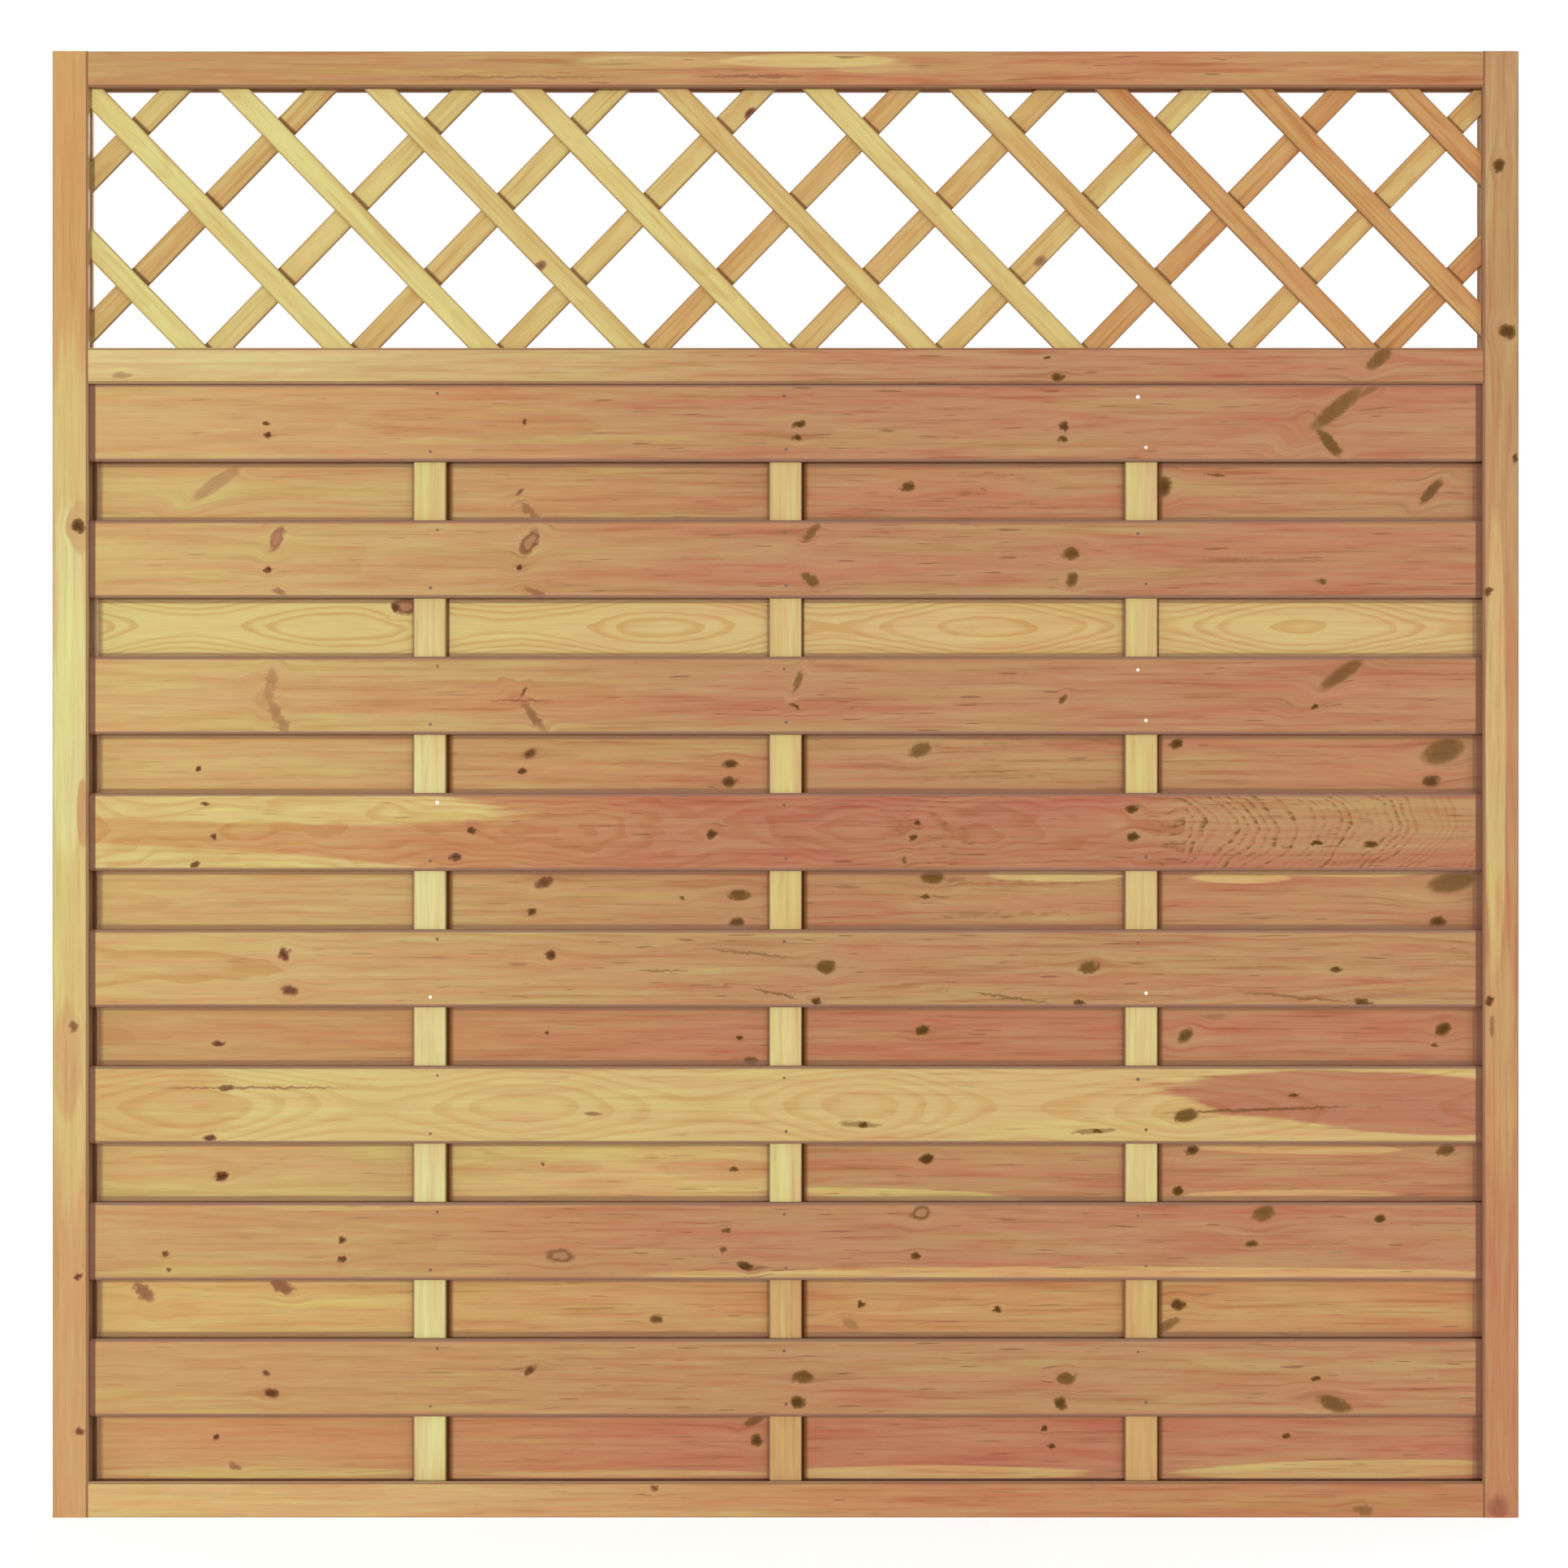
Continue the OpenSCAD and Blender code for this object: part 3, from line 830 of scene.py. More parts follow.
# %% The back slats
BACK_SLATS = {
    1: dict(flecks=[(1080, 1260, 0.6)],
            knots=[(197, 11, 36, 8, 35, 0.45, 0.04), (188, 4, 14, 2.5, 35, 0.4, 0.1),
                   (571, 0, 6, 3, 40, 0.6), (583, -22, 14, 4.5, -42, 0.45), (1051, 7, 9, 6.5, 10, 0.8),
                   (1367, 7, 9, 13, -10, 0.9), (1697, 1, 20, 6.5, 48, 0.85),
                   (1430, 21, 13, 1.6, -5, 0.8)]),
    2: dict(left=srgb(220, 200, 131), right=srgb(216, 187, 127), late=0.75, ring=6, pith=(22, 2), waver=9,
            kink=2.2, swell=(748, 398, 12), blush=0.15, lively=0.45, splits=0, lines=BACK_LINES_WITHOUT_BATTEN_SHADOW,
            patches=[(SAND_TAN, 1250, 0, 130, 60, 0, 0.6)],
            knots=[(431, 27, 17, 10, 0, 1, HOLLOW), (418, 26, 5, 7, 0, 0.9)]),
    3: dict(flecks=[(1020, 1280, 0.4)],
            knots=[(175, -6, 4, 3.5, 0, 0.9), (585, 13, 10, 5.5, 28, 0.75), (575, -9, 5.5, 4, 10, 0.9),
                   (832, 0, 9, 5.5, 0, 0.9), (831, -22, 9, 7, 10, 0.9), (1066, 17, 14, 8, 22, 0.75),
                   (1383, 25, 9, 6, 25, 0.95), (1712, 16, 27, 15, 20, 0.8), (1697, -21, 11, 7, 0, 0.85)]),
    4: dict(flecks=[(1040, 1300, 0.7)],
            patches=[(STRAW, 1240, 31, 90, 9, 0, 0.85), (STRAW, 1460, 28, 62, 8, 0, 0.85),
                     (STRAW, 1620, 33, 150, 5, 0, 0.8)],
            knots=[(602, 21, 11, 7, 20, 0.8), (586, -15, 6, 4.5, 10, 0.9), (773, 2, 5, 2.5, -20, 0.6),
                   (843, 6, 13, 7, 0, 0.95), (840, -28, 10, 6, 0, 0.8), (1081, 27, 15, 8, 0, 0.9),
                   (1074, 4, 6, 3, 0, 0.8), (1723, 22, 30, 13, 12, 0.8), (1706, -27, 11, 7, 10, 0.9)]),
    5: dict(left=HONEY, right=srgb(189, 135, 98), blush=0.7,
            knots=[(200, -10, 8, 4, 0, 0.9), (606, 3, 3, 3, 0, 0.7), (843, -3, 4, 3, 0, 1),
                   (857, -31, 9, 5, 0, 0.7), (1070, 7, 9, 6, 10, 0.95), (1394, 0, 11, 7, 45, 0.75),
                   (1712, 8, 10, 8, 30, 0.9), (1702, -12, 4, 3, 0, 0.7)]),
    6: dict(patches=[(SAND, 690, 0, 210, 60, 0, 1), (HONEY, 575, 3, 95, 15, 2, 0.75),
                     (HONEY, 820, 2, 75, 16, 0, 0.8),
                     (SAND, 300, -29, 170, 9, 1, 0.8), (SAND, 260, 30, 190, 7, 0, 0.7),
                     (SAND, 1040, -32, 160, 11, -2, 0.95),
                     (SAND, 1530, 29, 130, 8, -1, 0.9), (SAND, 1500, -31, 150, 8, 1, 0.9)],
            knots=[(203, -6, 8.5, 6.5, 0, 1, 1), (601, 9, 4, 2.5, 0, 0.6), (837, 3, 5, 3.5, 0, 0.8),
                   (1074, 15, 9, 6.5, 10, 1), (1385, -24, 7, 5.5, 0, 1), (1402, 26, 8, 6, 20, 0.95),
                   (1716, 27, 12, 7, 15, 0.95)]),
    7: dict(left=srgb(217, 182, 116), right=srgb(199, 153, 102),
            knots=[(107, 19, 16, 8, -45, 0.75), (278, 25, 15, 8, -25, 0.8), (741, -15, 9, 5.5, 0, 0.75),
                   (993, 4, 5, 4.5, -30, 0.9), (980, -21, 12, 6, -20, 0.35), (1162, -3, 5.5, 4.5, -20, 1),
                   (1385, 3, 9, 7.5, 0, 0.95), (1370, -23, 17, 6, 30, 0.7)]),
    8: dict(left=srgb(205, 158, 106), right=srgb(190, 131, 98), blush=0.7,
            lines=LOWEST_BACK_LINES,
            patches=[(SAND, 250, -36, 190, 7, 0, 0.8), (SAND, 700, -38, 190, 5, 0, 0.7),
                     (SAND, 1080, -37, 200, 9, 0, 0.85), (SAND, 1600, -33, 220, 12, 1, 0.85)],
            knots=[(197, 7, 4, 3.5, 0, 0.9), (220, -29, 9, 4.5, -30, 0.4), (862, 28, 14, 5.5, 25, 0.8),
                   (864, 3, 8, 8, 0, 0.95), (1220, 18, 4, 4, 0, 0.9), (1229, -4, 5, 3.5, 0, 0.9),
                   (1519, 9, 5.5, 3, 0, 0.95)]),
}
FIRST_BACK_LOG = 20
for number, wood in BACK_SLATS.items():
    slat = f"back_slat_{number}"
    wood = {"left": SAND_TAN, "right": SAND_CLAY, "lines": BACK_LINES, "splits": 0.4} | wood
    finish_board(f"treated_{slat}", slat, log=FIRST_BACK_LOG + number, **wood)
print("back slats finished:", len(BACK_SLATS))

# %% [markdown]
# The frame is thicker timber of the same kind. Its grain runs along each piece, so the posts read the wood
# stood on end. The groove side of the top and middle rails and of the right post is painted browner than
# its face, as painted shade, and that of the bottom rail and the left post paler, as painted light. The
# brown lines at the arrises are painted shade of the rounded edges, along with the treatment there. The
# imported timbers already have their shape and their rounded arrises, so they keep their meshes and get
# only this finish.

# %% The frame
# Painted shade of the rounded arris at the inner edge of the front face
BOTH_SIDES = (from_middle, RAIL_HALF - 3.5, 1.5, on_front_face, 0.85, BROWN_LINE)
UPPER_SIDE = (from_middle_up, *BOTH_SIDES[1:])
LOWER_SIDE = (from_middle_down, *BOTH_SIDES[1:])
# Painted shade on the groove sides
BOTH_GROOVES = (from_middle, RAIL_HALF - 0.4, 0.3, None, 0.8, GROOVE_SHADE)
LOWER_GROOVE = (from_middle_down, *BOTH_GROOVES[1:])
# Painted light: the groove side painted paler where it lies in shade
LIGHTENED_GROOVE = (from_middle_up, RAIL_HALF - 0.4, 0.3, None, 0.85, LIGHT_IN_SHADE)
# Painted shade of the rounded arrises, along with the treatment there
OUTER_ARRIS = (from_middle, RAIL_HALF - 1.8, 1.5, None, 0.3, BROWN_LINE)
FIRST_FRAME_LOG = 40
FRAME_TIMBERS = {
    "top_rail": dict(left=srgb(194, 150, 100), right=srgb(192, 142, 98), lively=1.3, blush=0.9, late=0.15,
                     lines=[LOWER_SIDE, LOWER_GROOVE, OUTER_ARRIS],
                     patches=[(STRAW, 735, 8, 110, 9, 0, 0.5), (STRAW, 930, 10, 110, 9, 0, 0.7),
                              (STRAW, 1010, 2, 60, 8, 0, 0.5)],
                     knots=[(560, -10, 130, 1.8, 0, 0.35), (860, -9, 70, 2, 0, 0.45)]),
    "mid_rail": dict(left=srgb(216, 189, 130), lines=[BOTH_SIDES, BOTH_GROOVES], lively=1.2, late=0.2,
                     turns_by=1250, patches=[(PALE, 130, 12, 300, 9, 0, 0.5)],
                     knots=[(85, -12, 12, 4, 0, 0.4), (1234, -14, 8, 5.5, 0, 0.9), (1222, 10, 3.5, 2, 0, 0.9),
                            (1629, 9, 20, 8, 42, 0.8)]),
    "bottom_rail": dict(left=srgb(216, 184, 124), right=srgb(190, 134, 95), turns_by=1400,
                        lines=[UPPER_SIDE, LIGHTENED_GROOVE, OUTER_ARRIS],
                        knots=[(738, 14, 6, 4, -20, 0.7), (1609, -13, 13, 6, -10, 0.5)]),
    "left_stile": dict(upright=True, left=srgb(207, 162, 110), right=srgb(207, 160, 103),
                       lines=[UPPER_SIDE, LIGHTENED_GROOVE, OUTER_ARRIS], lively=0.8,
                       late=0.08, blush=0.4,
                       patches=[(STRAW, 20, 0, 545, 40, 0, 0.85), (PALE, 120, -4, 230, 24, 0, 0.75),
                                (PALE, -110, 0, 110, 22, 0, 0.35), (HONEY, 316, 14, 34, 15, 0, 0.6),
                                (HONEY, -36, 16, 42, 8, 0, 0.9), (HONEY, -340, -4, 80, 18, 0, 0.6),
                                (HONEY, 180, -20, 160, 4, 0, 0.5)],
                       knots=[(316, 10, 9, 9, 0, 0.95), (-297, 4, 7, 6, 0, 0.6), (-604, 10, 5, 5, 0, 0.9),
                              (-794, 12, 6, 6, 0, 0.8)]),
    "right_stile": dict(upright=True, left=srgb(190, 133, 95), right=srgb(193, 149, 104),
                        lines=[LOWER_SIDE, LOWER_GROOVE, OUTER_ARRIS], lively=1.3, late=0.15,
                        patches=[(STRAW, 50, -6, 305, 13, 0, 0.67), (OCHRE, 640, 4, 330, 30, 0, 0.7),
                                 (TAN, -340, -4, 170, 26, 0, 0.55)],
                        knots=[(760, -3, 8, 7, 0, 0.95), (556, 8, 10, 11, 0, 0.95), (399, 17, 5, 4, 0, 0.9),
                               (237, -16, 5, 6, 0, 0.8), (-265, -14, 6, 5, 0, 0.9),
                               (-297, -11, 14, 3, 0, 0.6), (-888, -4, 15, 13, 0, 0.6)]),
}
for number, (node, wood) in enumerate(FRAME_TIMBERS.items()):
    finish_board(f"treated_{node}", node, log=FIRST_FRAME_LOG + number, pith=(75, 10), **wood)
print("frame timbers finished:", len(FRAME_TIMBERS))

# %% [markdown]
# The three battens stand between the two layers of slats and carry the nails. They are clean sapwood, the
# palest timber in the panel, and have no knots.

# %% The battens
# Painted shade of the batten's rounded arrises, along with the treatment there
BATTEN_ARRIS = (from_middle, BATTEN_HALF - 2.2, 1.8, None, 0.6, BROWN_LINE)
LOW_PALE = (PALE, -380, 0, 200, 40, 0, 0.6)
BATTEN_PATCHES = {
    1: [(PALE, -330, 0, 560, 40, 0, 0.9), (STRAW, 300, 0, 300, 40, 0, 0.6)],
    2: [(STRAW, 0, 0, 480, 30, 0, 0.6), LOW_PALE, (HONEY, -780, 0, 230, 40, 0, 0.8)],
    3: [(STRAW, -100, 0, 380, 30, 0, 0.6), LOW_PALE, (TAN, -780, 0, 230, 40, 0, 1)],
}
FIRST_BATTEN_LOG = 50
for number, patches in BATTEN_PATCHES.items():
    finish_board(f"treated_batten_{number}", f"batten_{number}", log=FIRST_BATTEN_LOG + number,
                 upright=True, left=srgb(212, 180, 122), right=srgb(213, 184, 128), late=0.2, blush=0.3,
                 lines=[BATTEN_ARRIS], patches=patches)
print("battens finished:", len(BATTEN_PATCHES))

# %% [markdown]
# Laths, nails and staples are each one thing laid down many times. Copies could be placed in a loop, but a
# tree of nodes keeps the sizes together as named inputs. Every tree here puts one copy on each point, makes
# the copies real and gives them their material, and these helpers are the steps that they share.

# %% Helpers for trees that put things on points
def point_number(tree, name):
    """A number that every point carries under this name."""
    return add_node(tree, "GeometryNodeInputNamedAttribute", {"Name": name}, data_type="FLOAT").outputs[0]


def store(tree, geometry, name, value, kind, domain):
    """Writes a value down on a geometry under a name."""
    wires = {"Geometry": geometry, "Name": name, "Value": value}
    return add_node(tree, "GeometryNodeStoreNamedAttribute", wires, data_type=kind, domain=domain).outputs[0]


def put_on_points(tree, points, thing, **how):
    """Puts one copy of a thing on every point."""
    wires = {"Points": points, "Instance": thing} | how
    return add_node(tree, "GeometryNodeInstanceOnPoints", wires).outputs[0]


def make_real(tree, copies):
    """Turns the copies into a mesh that can be changed."""
    return add_node(tree, "GeometryNodeRealizeInstances", {"Geometry": copies}).outputs[0]


def hand_on(tree, geometry, material, wanted):
    """Gives a geometry its material and hands it on as the result of the tree."""
    wires = {"Geometry": geometry, "Material": material}
    dressed = add_node(tree, "GeometryNodeSetMaterial", wires).outputs[0]
    tree.links.new(dressed, wanted["Geometry"])


def bend_round(tree, curve, radius):
    """Rounds the corners of a curve."""
    wires = {"Curve": curve, "Count": 3, "Radius": radius}
    return add_node(tree, "GeometryNodeFilletCurve", wires, mode="POLY").outputs[0]


# %% [markdown]
# The lattice is two layers of laths that cross. Laid by hand, each lath would be cut to length with both ends
# mitred to fit the grooves. Geometry Nodes lays them by the same rule: a lath of unit length is put down once
# for each crossing line, and every corner of it is then slid along the lath until it meets the box of the
# grooves. The nodes also write down where a point lies in its own lath, which the wood reads later.

# %% One lath, and where it ends
def unit_lath(tree, given):
    """A lath one metre long, with rounded arrises."""
    wires = {"Width": given["Lath Thickness"], "Height": given["Lath Width"]}
    sheet = add_node(tree, "GeometryNodeCurvePrimitiveQuadrilateral", wires).outputs[0]
    eased = bend_round(tree, sheet, given["Arris Radius"])
    line = add_node(tree, "GeometryNodeCurvePrimitiveLine", {"Start": (0, 0, 0), "End": (0, 0, 1)})
    wires = {"Curve": line.outputs[0], "Profile Curve": eased, "Fill Caps": True}
    return add_node(tree, "GeometryNodeCurveToMesh", wires).outputs[0]


def lath_ends(tree, given, across, line_x, first_z, run, rise):
    """Where a line along a lath meets the box of the grooves, as distances along the lath."""
    low = parts_of(tree, given["Low Corner"])
    high = parts_of(tree, given["High Corner"])

    def reach_x(edge):
        gap = minus(tree, edge, line_x)
        return reckon(tree, "DIVIDE", times_plus(tree, across, rise, gap), run)

    def reach_z(edge):
        gap = minus(tree, edge, first_z)
        return reckon(tree, "DIVIDE", minus(tree, gap, times(tree, across, run)), rise)

    top = reach_z(high["Z"])
    bottom = reach_z(low["Z"])
    start = reckon(tree, "MAXIMUM", reach_x(low["X"]), reckon(tree, "MINIMUM", top, bottom))
    stop = reckon(tree, "MINIMUM", reach_x(high["X"]), reckon(tree, "MAXIMUM", top, bottom))
    return start, reckon(tree, "MAXIMUM", stop, start)


# %% Geometry Nodes: one layer of laths
WELD_DISTANCE = 0.00001


def lay_laths():
    tree, given, wanted = new_group(
        "Lay Laths", "GeometryNodeTree",
        [("Geometry", GEOMETRY, None), ("Lath Width", FLOAT, 0.0285), ("Lath Thickness", FLOAT, 0.0078),
         ("Arris Radius", FLOAT, 0.0015), ("Spacing", FLOAT, 0.18), ("Lean", FLOAT, 0.8),
         ("First Crossing", VECTOR, None), ("Low Corner", VECTOR, None), ("High Corner", VECTOR, None),
         ("First Number", FLOAT, 0.0), ("Wood", MATERIAL, None)],
        [("Geometry", GEOMETRY)],
    )
    laid = put_on_points(tree, given["Geometry"], unit_lath(tree, given))
    number = plus(tree, add_node(tree, "GeometryNodeInputIndex").outputs[0], given["First Number"])
    real = make_real(tree, store(tree, laid, "lath_number", number, "FLOAT", "INSTANCE"))

    point = parts_of(tree, add_node(tree, "GeometryNodeInputPosition").outputs[0])
    through = point["X"]
    across = point["Y"]
    share = point["Z"]
    step = minus(tree, point_number(tree, "lath_number"), given["First Number"])
    first = parts_of(tree, given["First Crossing"])
    line_x = times_plus(tree, step, given["Spacing"], first["X"])
    run = reckon(tree, "COSINE", given["Lean"])
    rise = reckon(tree, "SINE", given["Lean"])
    start, stop = lath_ends(tree, given, across, line_x, first["Z"], run, rise)
    along = times_plus(tree, minus(tree, stop, start), share, start)
    to_right = minus(tree, times(tree, along, run), times(tree, across, rise))
    upwards = plus(tree, times(tree, along, rise), times(tree, across, run))
    moved = point_of(tree, plus(tree, line_x, to_right), plus(tree, first["Y"], through),
                     plus(tree, first["Z"], upwards))
    noted = store(tree, real, "lath_place", point_of(tree, along, through, across), "FLOAT_VECTOR", "POINT")
    placed = add_node(tree, "GeometryNodeSetPosition", {"Geometry": noted, "Position": moved}).outputs[0]
    wires = {"Geometry": placed, "Distance": WELD_DISTANCE}
    welded = add_node(tree, "GeometryNodeMergeByDistance", wires).outputs[0]
    hand_on(tree, welded, given["Wood"], wanted)
    return tree


lath_tree = lay_laths()
print("lath tree nodes:", len(lath_tree.nodes))


# %% [markdown]
# A tree of nodes is only a recipe. This helper cooks it: it gives the recipe its points and its numbers, and
# keeps the result as a plain mesh, which any program can read.

# %% Helper that runs a tree on points
def run_nodes(name, tree, inputs, points=(), notes=None):
    """Runs a Geometry Nodes tree on points and returns its result as a plain mesh object. notes gives each
    point named numbers that the nodes read."""
    seed_mesh = bpy.data.meshes.new(name + "_points")
    seed_mesh.from_pydata(points, [], [])
    for label, values in (notes or {}).items():
        seed_mesh.attributes.new(label, "FLOAT", "POINT").data.foreach_set("value", values)
    source = add_object(name + "_source", seed_mesh)
    modifier = source.modifiers.new(tree.name, "NODES")
    modifier.node_group = tree
    sockets = {item.name: item.identifier for item in tree.interface.items_tree if item.in_out == "INPUT"}
    for label, value in inputs.items():
        modifier[sockets[label]] = value
    evaluated = source.evaluated_get(bpy.context.evaluated_depsgraph_get())
    mesh = bpy.data.meshes.new_from_object(evaluated)
    mesh.name = name
    bpy.data.objects.remove(source)
    return add_object(name, mesh)


# %% [markdown]
# Each lath is a thin strip of the same wood. It could have a finish of its own, but one for all is enough,
# because a lath reads its wood from its own place, so the grain runs along it whichever way it leans. Its
# number moves it to another part of the log, and its redness is set for each lath from left to right.

# %% Sizes and colours of the laths
LATH_STRAW = srgb(222, 210, 136)
LATH_BROWN = srgb(200, 142, 92)
# Painted shade of the laths' rounded edges
LATH_EDGE_BROWN = srgb(166, 118, 78)
# Painted shadow that the front laths cast beside each crossing on the laths behind
LATH_SHADOW = srgb(112, 66, 34)
LATH_SPACING = 180
LATH_LEAN = 45.9
LATH_WIDTH = 28.5
FIRST_LATH_LOG = 60.0
# Laths are numbered 0 to 10 in the front layer and 20 to 30 in the back one, and 15 parts the two
FIRST_BACK_LATH = 20.0
BETWEEN_LAYERS = 15.0
# Where the painted shadow beside each crossing starts and is full, past the lath's edge, and how strong it is
SHADOW_REACH = (5.4, 3.0)
SHADOW_STRENGTH = 0.8
# Painted shade of the rounded edges of each lath
LATH_EDGE = (from_middle, LATH_WIDTH / 2 - 3.2, 3, None, 0.6, LATH_EDGE_BROWN)
LATH_KNOTS = [(598, 638, 9, 6, 35, 0.7), (857, 827, 9, 6, 45, 1), (1214, 645, 9, 6, 40, 0.5)]


# %% The tints and the dirt of the laths
def lath_tints(tree, redness):
    """The rows that tint_figure takes for the laths."""
    return (
        ("Mottle", 0.50, 0.74, 0.6, (0.93, 0.78, 0.70)),
        ("Mottle", 0.48, 0.28, 0.6, (1.02, 1.08, 1.05)),
        ("Streak", 0.48, 0.70, times_plus(tree, redness, 0.6, 0.35), (0.82, 0.66, 0.56)),
        ("Late Wood", 0.0, 1.0, 0.3, (0.86, 0.70, 0.56)),
        ("Fibre", 0.45, 0.75, 0.5, (0.92, 0.90, 0.88)),
    )


def shadow_at_crossings(tree, axes, number):
    """How much painted shadow lies at a point, beside each crossing on the front of the laths behind."""
    crossing_step = LATH_SPACING / 2 / math.cos(math.radians(LATH_LEAN)) * MM
    past_crossing = reckon(tree, "FLOORED_MODULO", axes["X"], crossing_step)
    painted_shadow = soft_step(tree, past_crossing, *((LATH_WIDTH / 2 + reach) * MM for reach in SHADOW_REACH))
    front_side = soft_step(tree, axes["Y"], 0.0, -2 * MM)
    back_layer = reckon(tree, "GREATER_THAN", number, BETWEEN_LAYERS)
    return times(tree, painted_shadow, times(tree, front_side, back_layer))


# %% The finish of the laths
def carried(tree, name, output):
    """A value that the mesh carries under this name."""
    return add_node(tree, "ShaderNodeAttribute", attribute_name=name).outputs[output]


def finish_laths():
    material, tree, principled = new_material("treated_lath")
    own = carried(tree, "lath_place", "Vector")
    number = carried(tree, "lath_number", "Fac")
    redness = carried(tree, "redness", "Fac")
    axes = parts_of(tree, own)
    figure = use_group(tree, softwood, {
        "Place": own, "Log Number": plus(tree, number, FIRST_LATH_LOG),
        "Pith Depth": 0.03, "Ring Width": 0.005, "Waver": 0.02,
    })
    redder = times_plus(tree, minus(tree, figure["Drift"], 0.5), 0.8, redness)
    redder = add_node(tree, "ShaderNodeClamp", {0: redder}).outputs[0]
    colour = lay_over(tree, redder, LATH_STRAW, LATH_BROWN)
    colour = tint_figure(tree, colour, figure, lath_tints(tree, redness))
    in_panel = add_node(tree, "ShaderNodeTexCoord").outputs["Object"]
    chained = chain_knots(tree, in_panel, parts_of(tree, in_panel)["Z"], LATH_KNOTS)
    colour = lay_over(tree, chained["Core"], colour, KNOT_BROWN)
    colour = lay_over(tree, chained["Dark"], colour, KNOT_DARK)
    colour = draw_lines(tree, colour, axes, [LATH_EDGE])
    painted_shadow = times(tree, shadow_at_crossings(tree, axes, number), SHADOW_STRENGTH)
    tree.links.new(lay_over(tree, painted_shadow, colour, LATH_SHADOW), principled.inputs["Base Color"])
    planed_surface(tree, principled, figure, own)
    return material


lath_wood = finish_laths()
print("lath finish nodes:", len(lath_wood.node_tree.nodes))


# %% [markdown]
# Eleven laths on the front fall to the right, and eleven behind them rise to the right. Each layer could
# have a tree of its own, but the same tree makes both, with the lean turned over. The laths keep to the
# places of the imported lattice.

# %% Lay both layers of laths
FRONT_LATH_REDNESS = [0.0, 0.0, 0.05, 0.2, 0.25, 0.35, 0.25, 0.5, 0.85, 0.8, 0.85]
BACK_LATH_REDNESS = [0.4, 0.5, 0.35, 0.4, 0.4, 0.75, 0.45, 0.45, 0.9, 0.55, 0.85]
LATH_COUNT = len(FRONT_LATH_REDNESS)
LATH_ARRIS = 0.0014
LAYER_GAP = 0.0001
CROSSING_RIGHT = 4
CROSSING_UP = 12

lattice_low, lattice_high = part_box("lattice")
crossing_x = (lattice_low.x + lattice_high.x) / 2 + CROSSING_RIGHT * MM
crossing_z = (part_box("mid_rail")[1].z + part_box("top_rail")[0].z) / 2 + CROSSING_UP * MM
lath_depth = lattice_high.y - LAYER_GAP


def lay_layer(name, side, first_number, redness):
    """One layer of laths. side is -1 for the front layer and 1 for the back one."""
    first_x = crossing_x - LATH_SPACING * (LATH_COUNT // 2) * MM
    layer = run_nodes(name, lath_tree, {
        "Lath Width": LATH_WIDTH * MM,
        "Lath Thickness": lath_depth,
        "Arris Radius": LATH_ARRIS,
        "Spacing": LATH_SPACING * MM,
        "Lean": math.radians(side * LATH_LEAN),
        "First Crossing": (first_x, side * (lath_depth + LAYER_GAP) / 2, crossing_z),
        "Low Corner": lattice_low,
        "High Corner": lattice_high,
        "First Number": first_number,
        "Wood": lath_wood,
    }, [(0, 0, 0)] * LATH_COUNT, {"redness": redness})
    print(name, "faces:", len(layer.data.polygons))
    return layer


layers = [
    lay_layer("front_laths", -1, 0.0, FRONT_LATH_REDNESS),
    lay_layer("back_laths", 1, FIRST_BACK_LATH, BACK_LATH_REDNESS),
]

# %% [markdown]
# Every slat is nailed to each batten with two nails, near its edges. The front slats are nailed from the
# front and the back slats from behind. A nail head is a small disc with a sloped rim, the same each time, so
# it is made once and put down on a list of points. The shank is inside the wood, so none is made.

# %% Geometry Nodes: nail heads on points
NAIL_RADIUS = 0.0018
NAIL_HEIGHT = 0.0006
NAIL_SEED = 3
NAIL_SIZES = (0.85, 1.15)
RIM_SLOPE = 0.75


def drive_nails():
    tree, given, wanted = new_group(
        "Drive Nails", "GeometryNodeTree",
        [("Geometry", GEOMETRY, None), ("Head Radius", FLOAT, NAIL_RADIUS),
         ("Head Height", FLOAT, NAIL_HEIGHT), ("Seed", WHOLE, NAIL_SEED), ("Steel", MATERIAL, None)],
        [("Geometry", GEOMETRY)],
    )
    head = add_node(tree, "GeometryNodeMeshCone", {
        "Vertices": 14, "Radius Bottom": given["Head Radius"],
        "Radius Top": times(tree, given["Head Radius"], RIM_SLOPE), "Depth": given["Head Height"],
    }).outputs[0]
    facing = point_of(tree, x=times(tree, point_number(tree, "outward"), -math.pi / 2))
    wires = {2: NAIL_SIZES[0], 3: NAIL_SIZES[1], "Seed": given["Seed"]}
    drawn = add_node(tree, "FunctionNodeRandomValue", wires, data_type="FLOAT").outputs[1]
    size = times(tree, drawn, times_plus(tree, point_number(tree, "bright"), 0.4, 1.0))
    put = put_on_points(tree, given["Geometry"], head, Rotation=facing, Scale=size)
    hand_on(tree, make_real(tree, put), given["Steel"], wanted)
    return tree


nail_tree = drive_nails()
print("nail tree nodes:", len(nail_tree.nodes))


# %% [markdown]
# Most heads have turned dark in the treatment, and a few are still bare. Those are painted near white, a
# painted highlight for the glint of bare steel, and are made a little larger. Two kinds of steel would do
# for that, but a number that each point carries lets one kind be anything between dark and bright.

# %% The steel of the nails and staples
DARK_STEEL = (srgb(92, 66, 46), srgb(128, 100, 76))
# Painted highlight: near white for the glint of bare steel
BRIGHT_STEEL = (srgb(226, 214, 196), srgb(246, 240, 230))
SPECKS_PER_METRE = 900.0


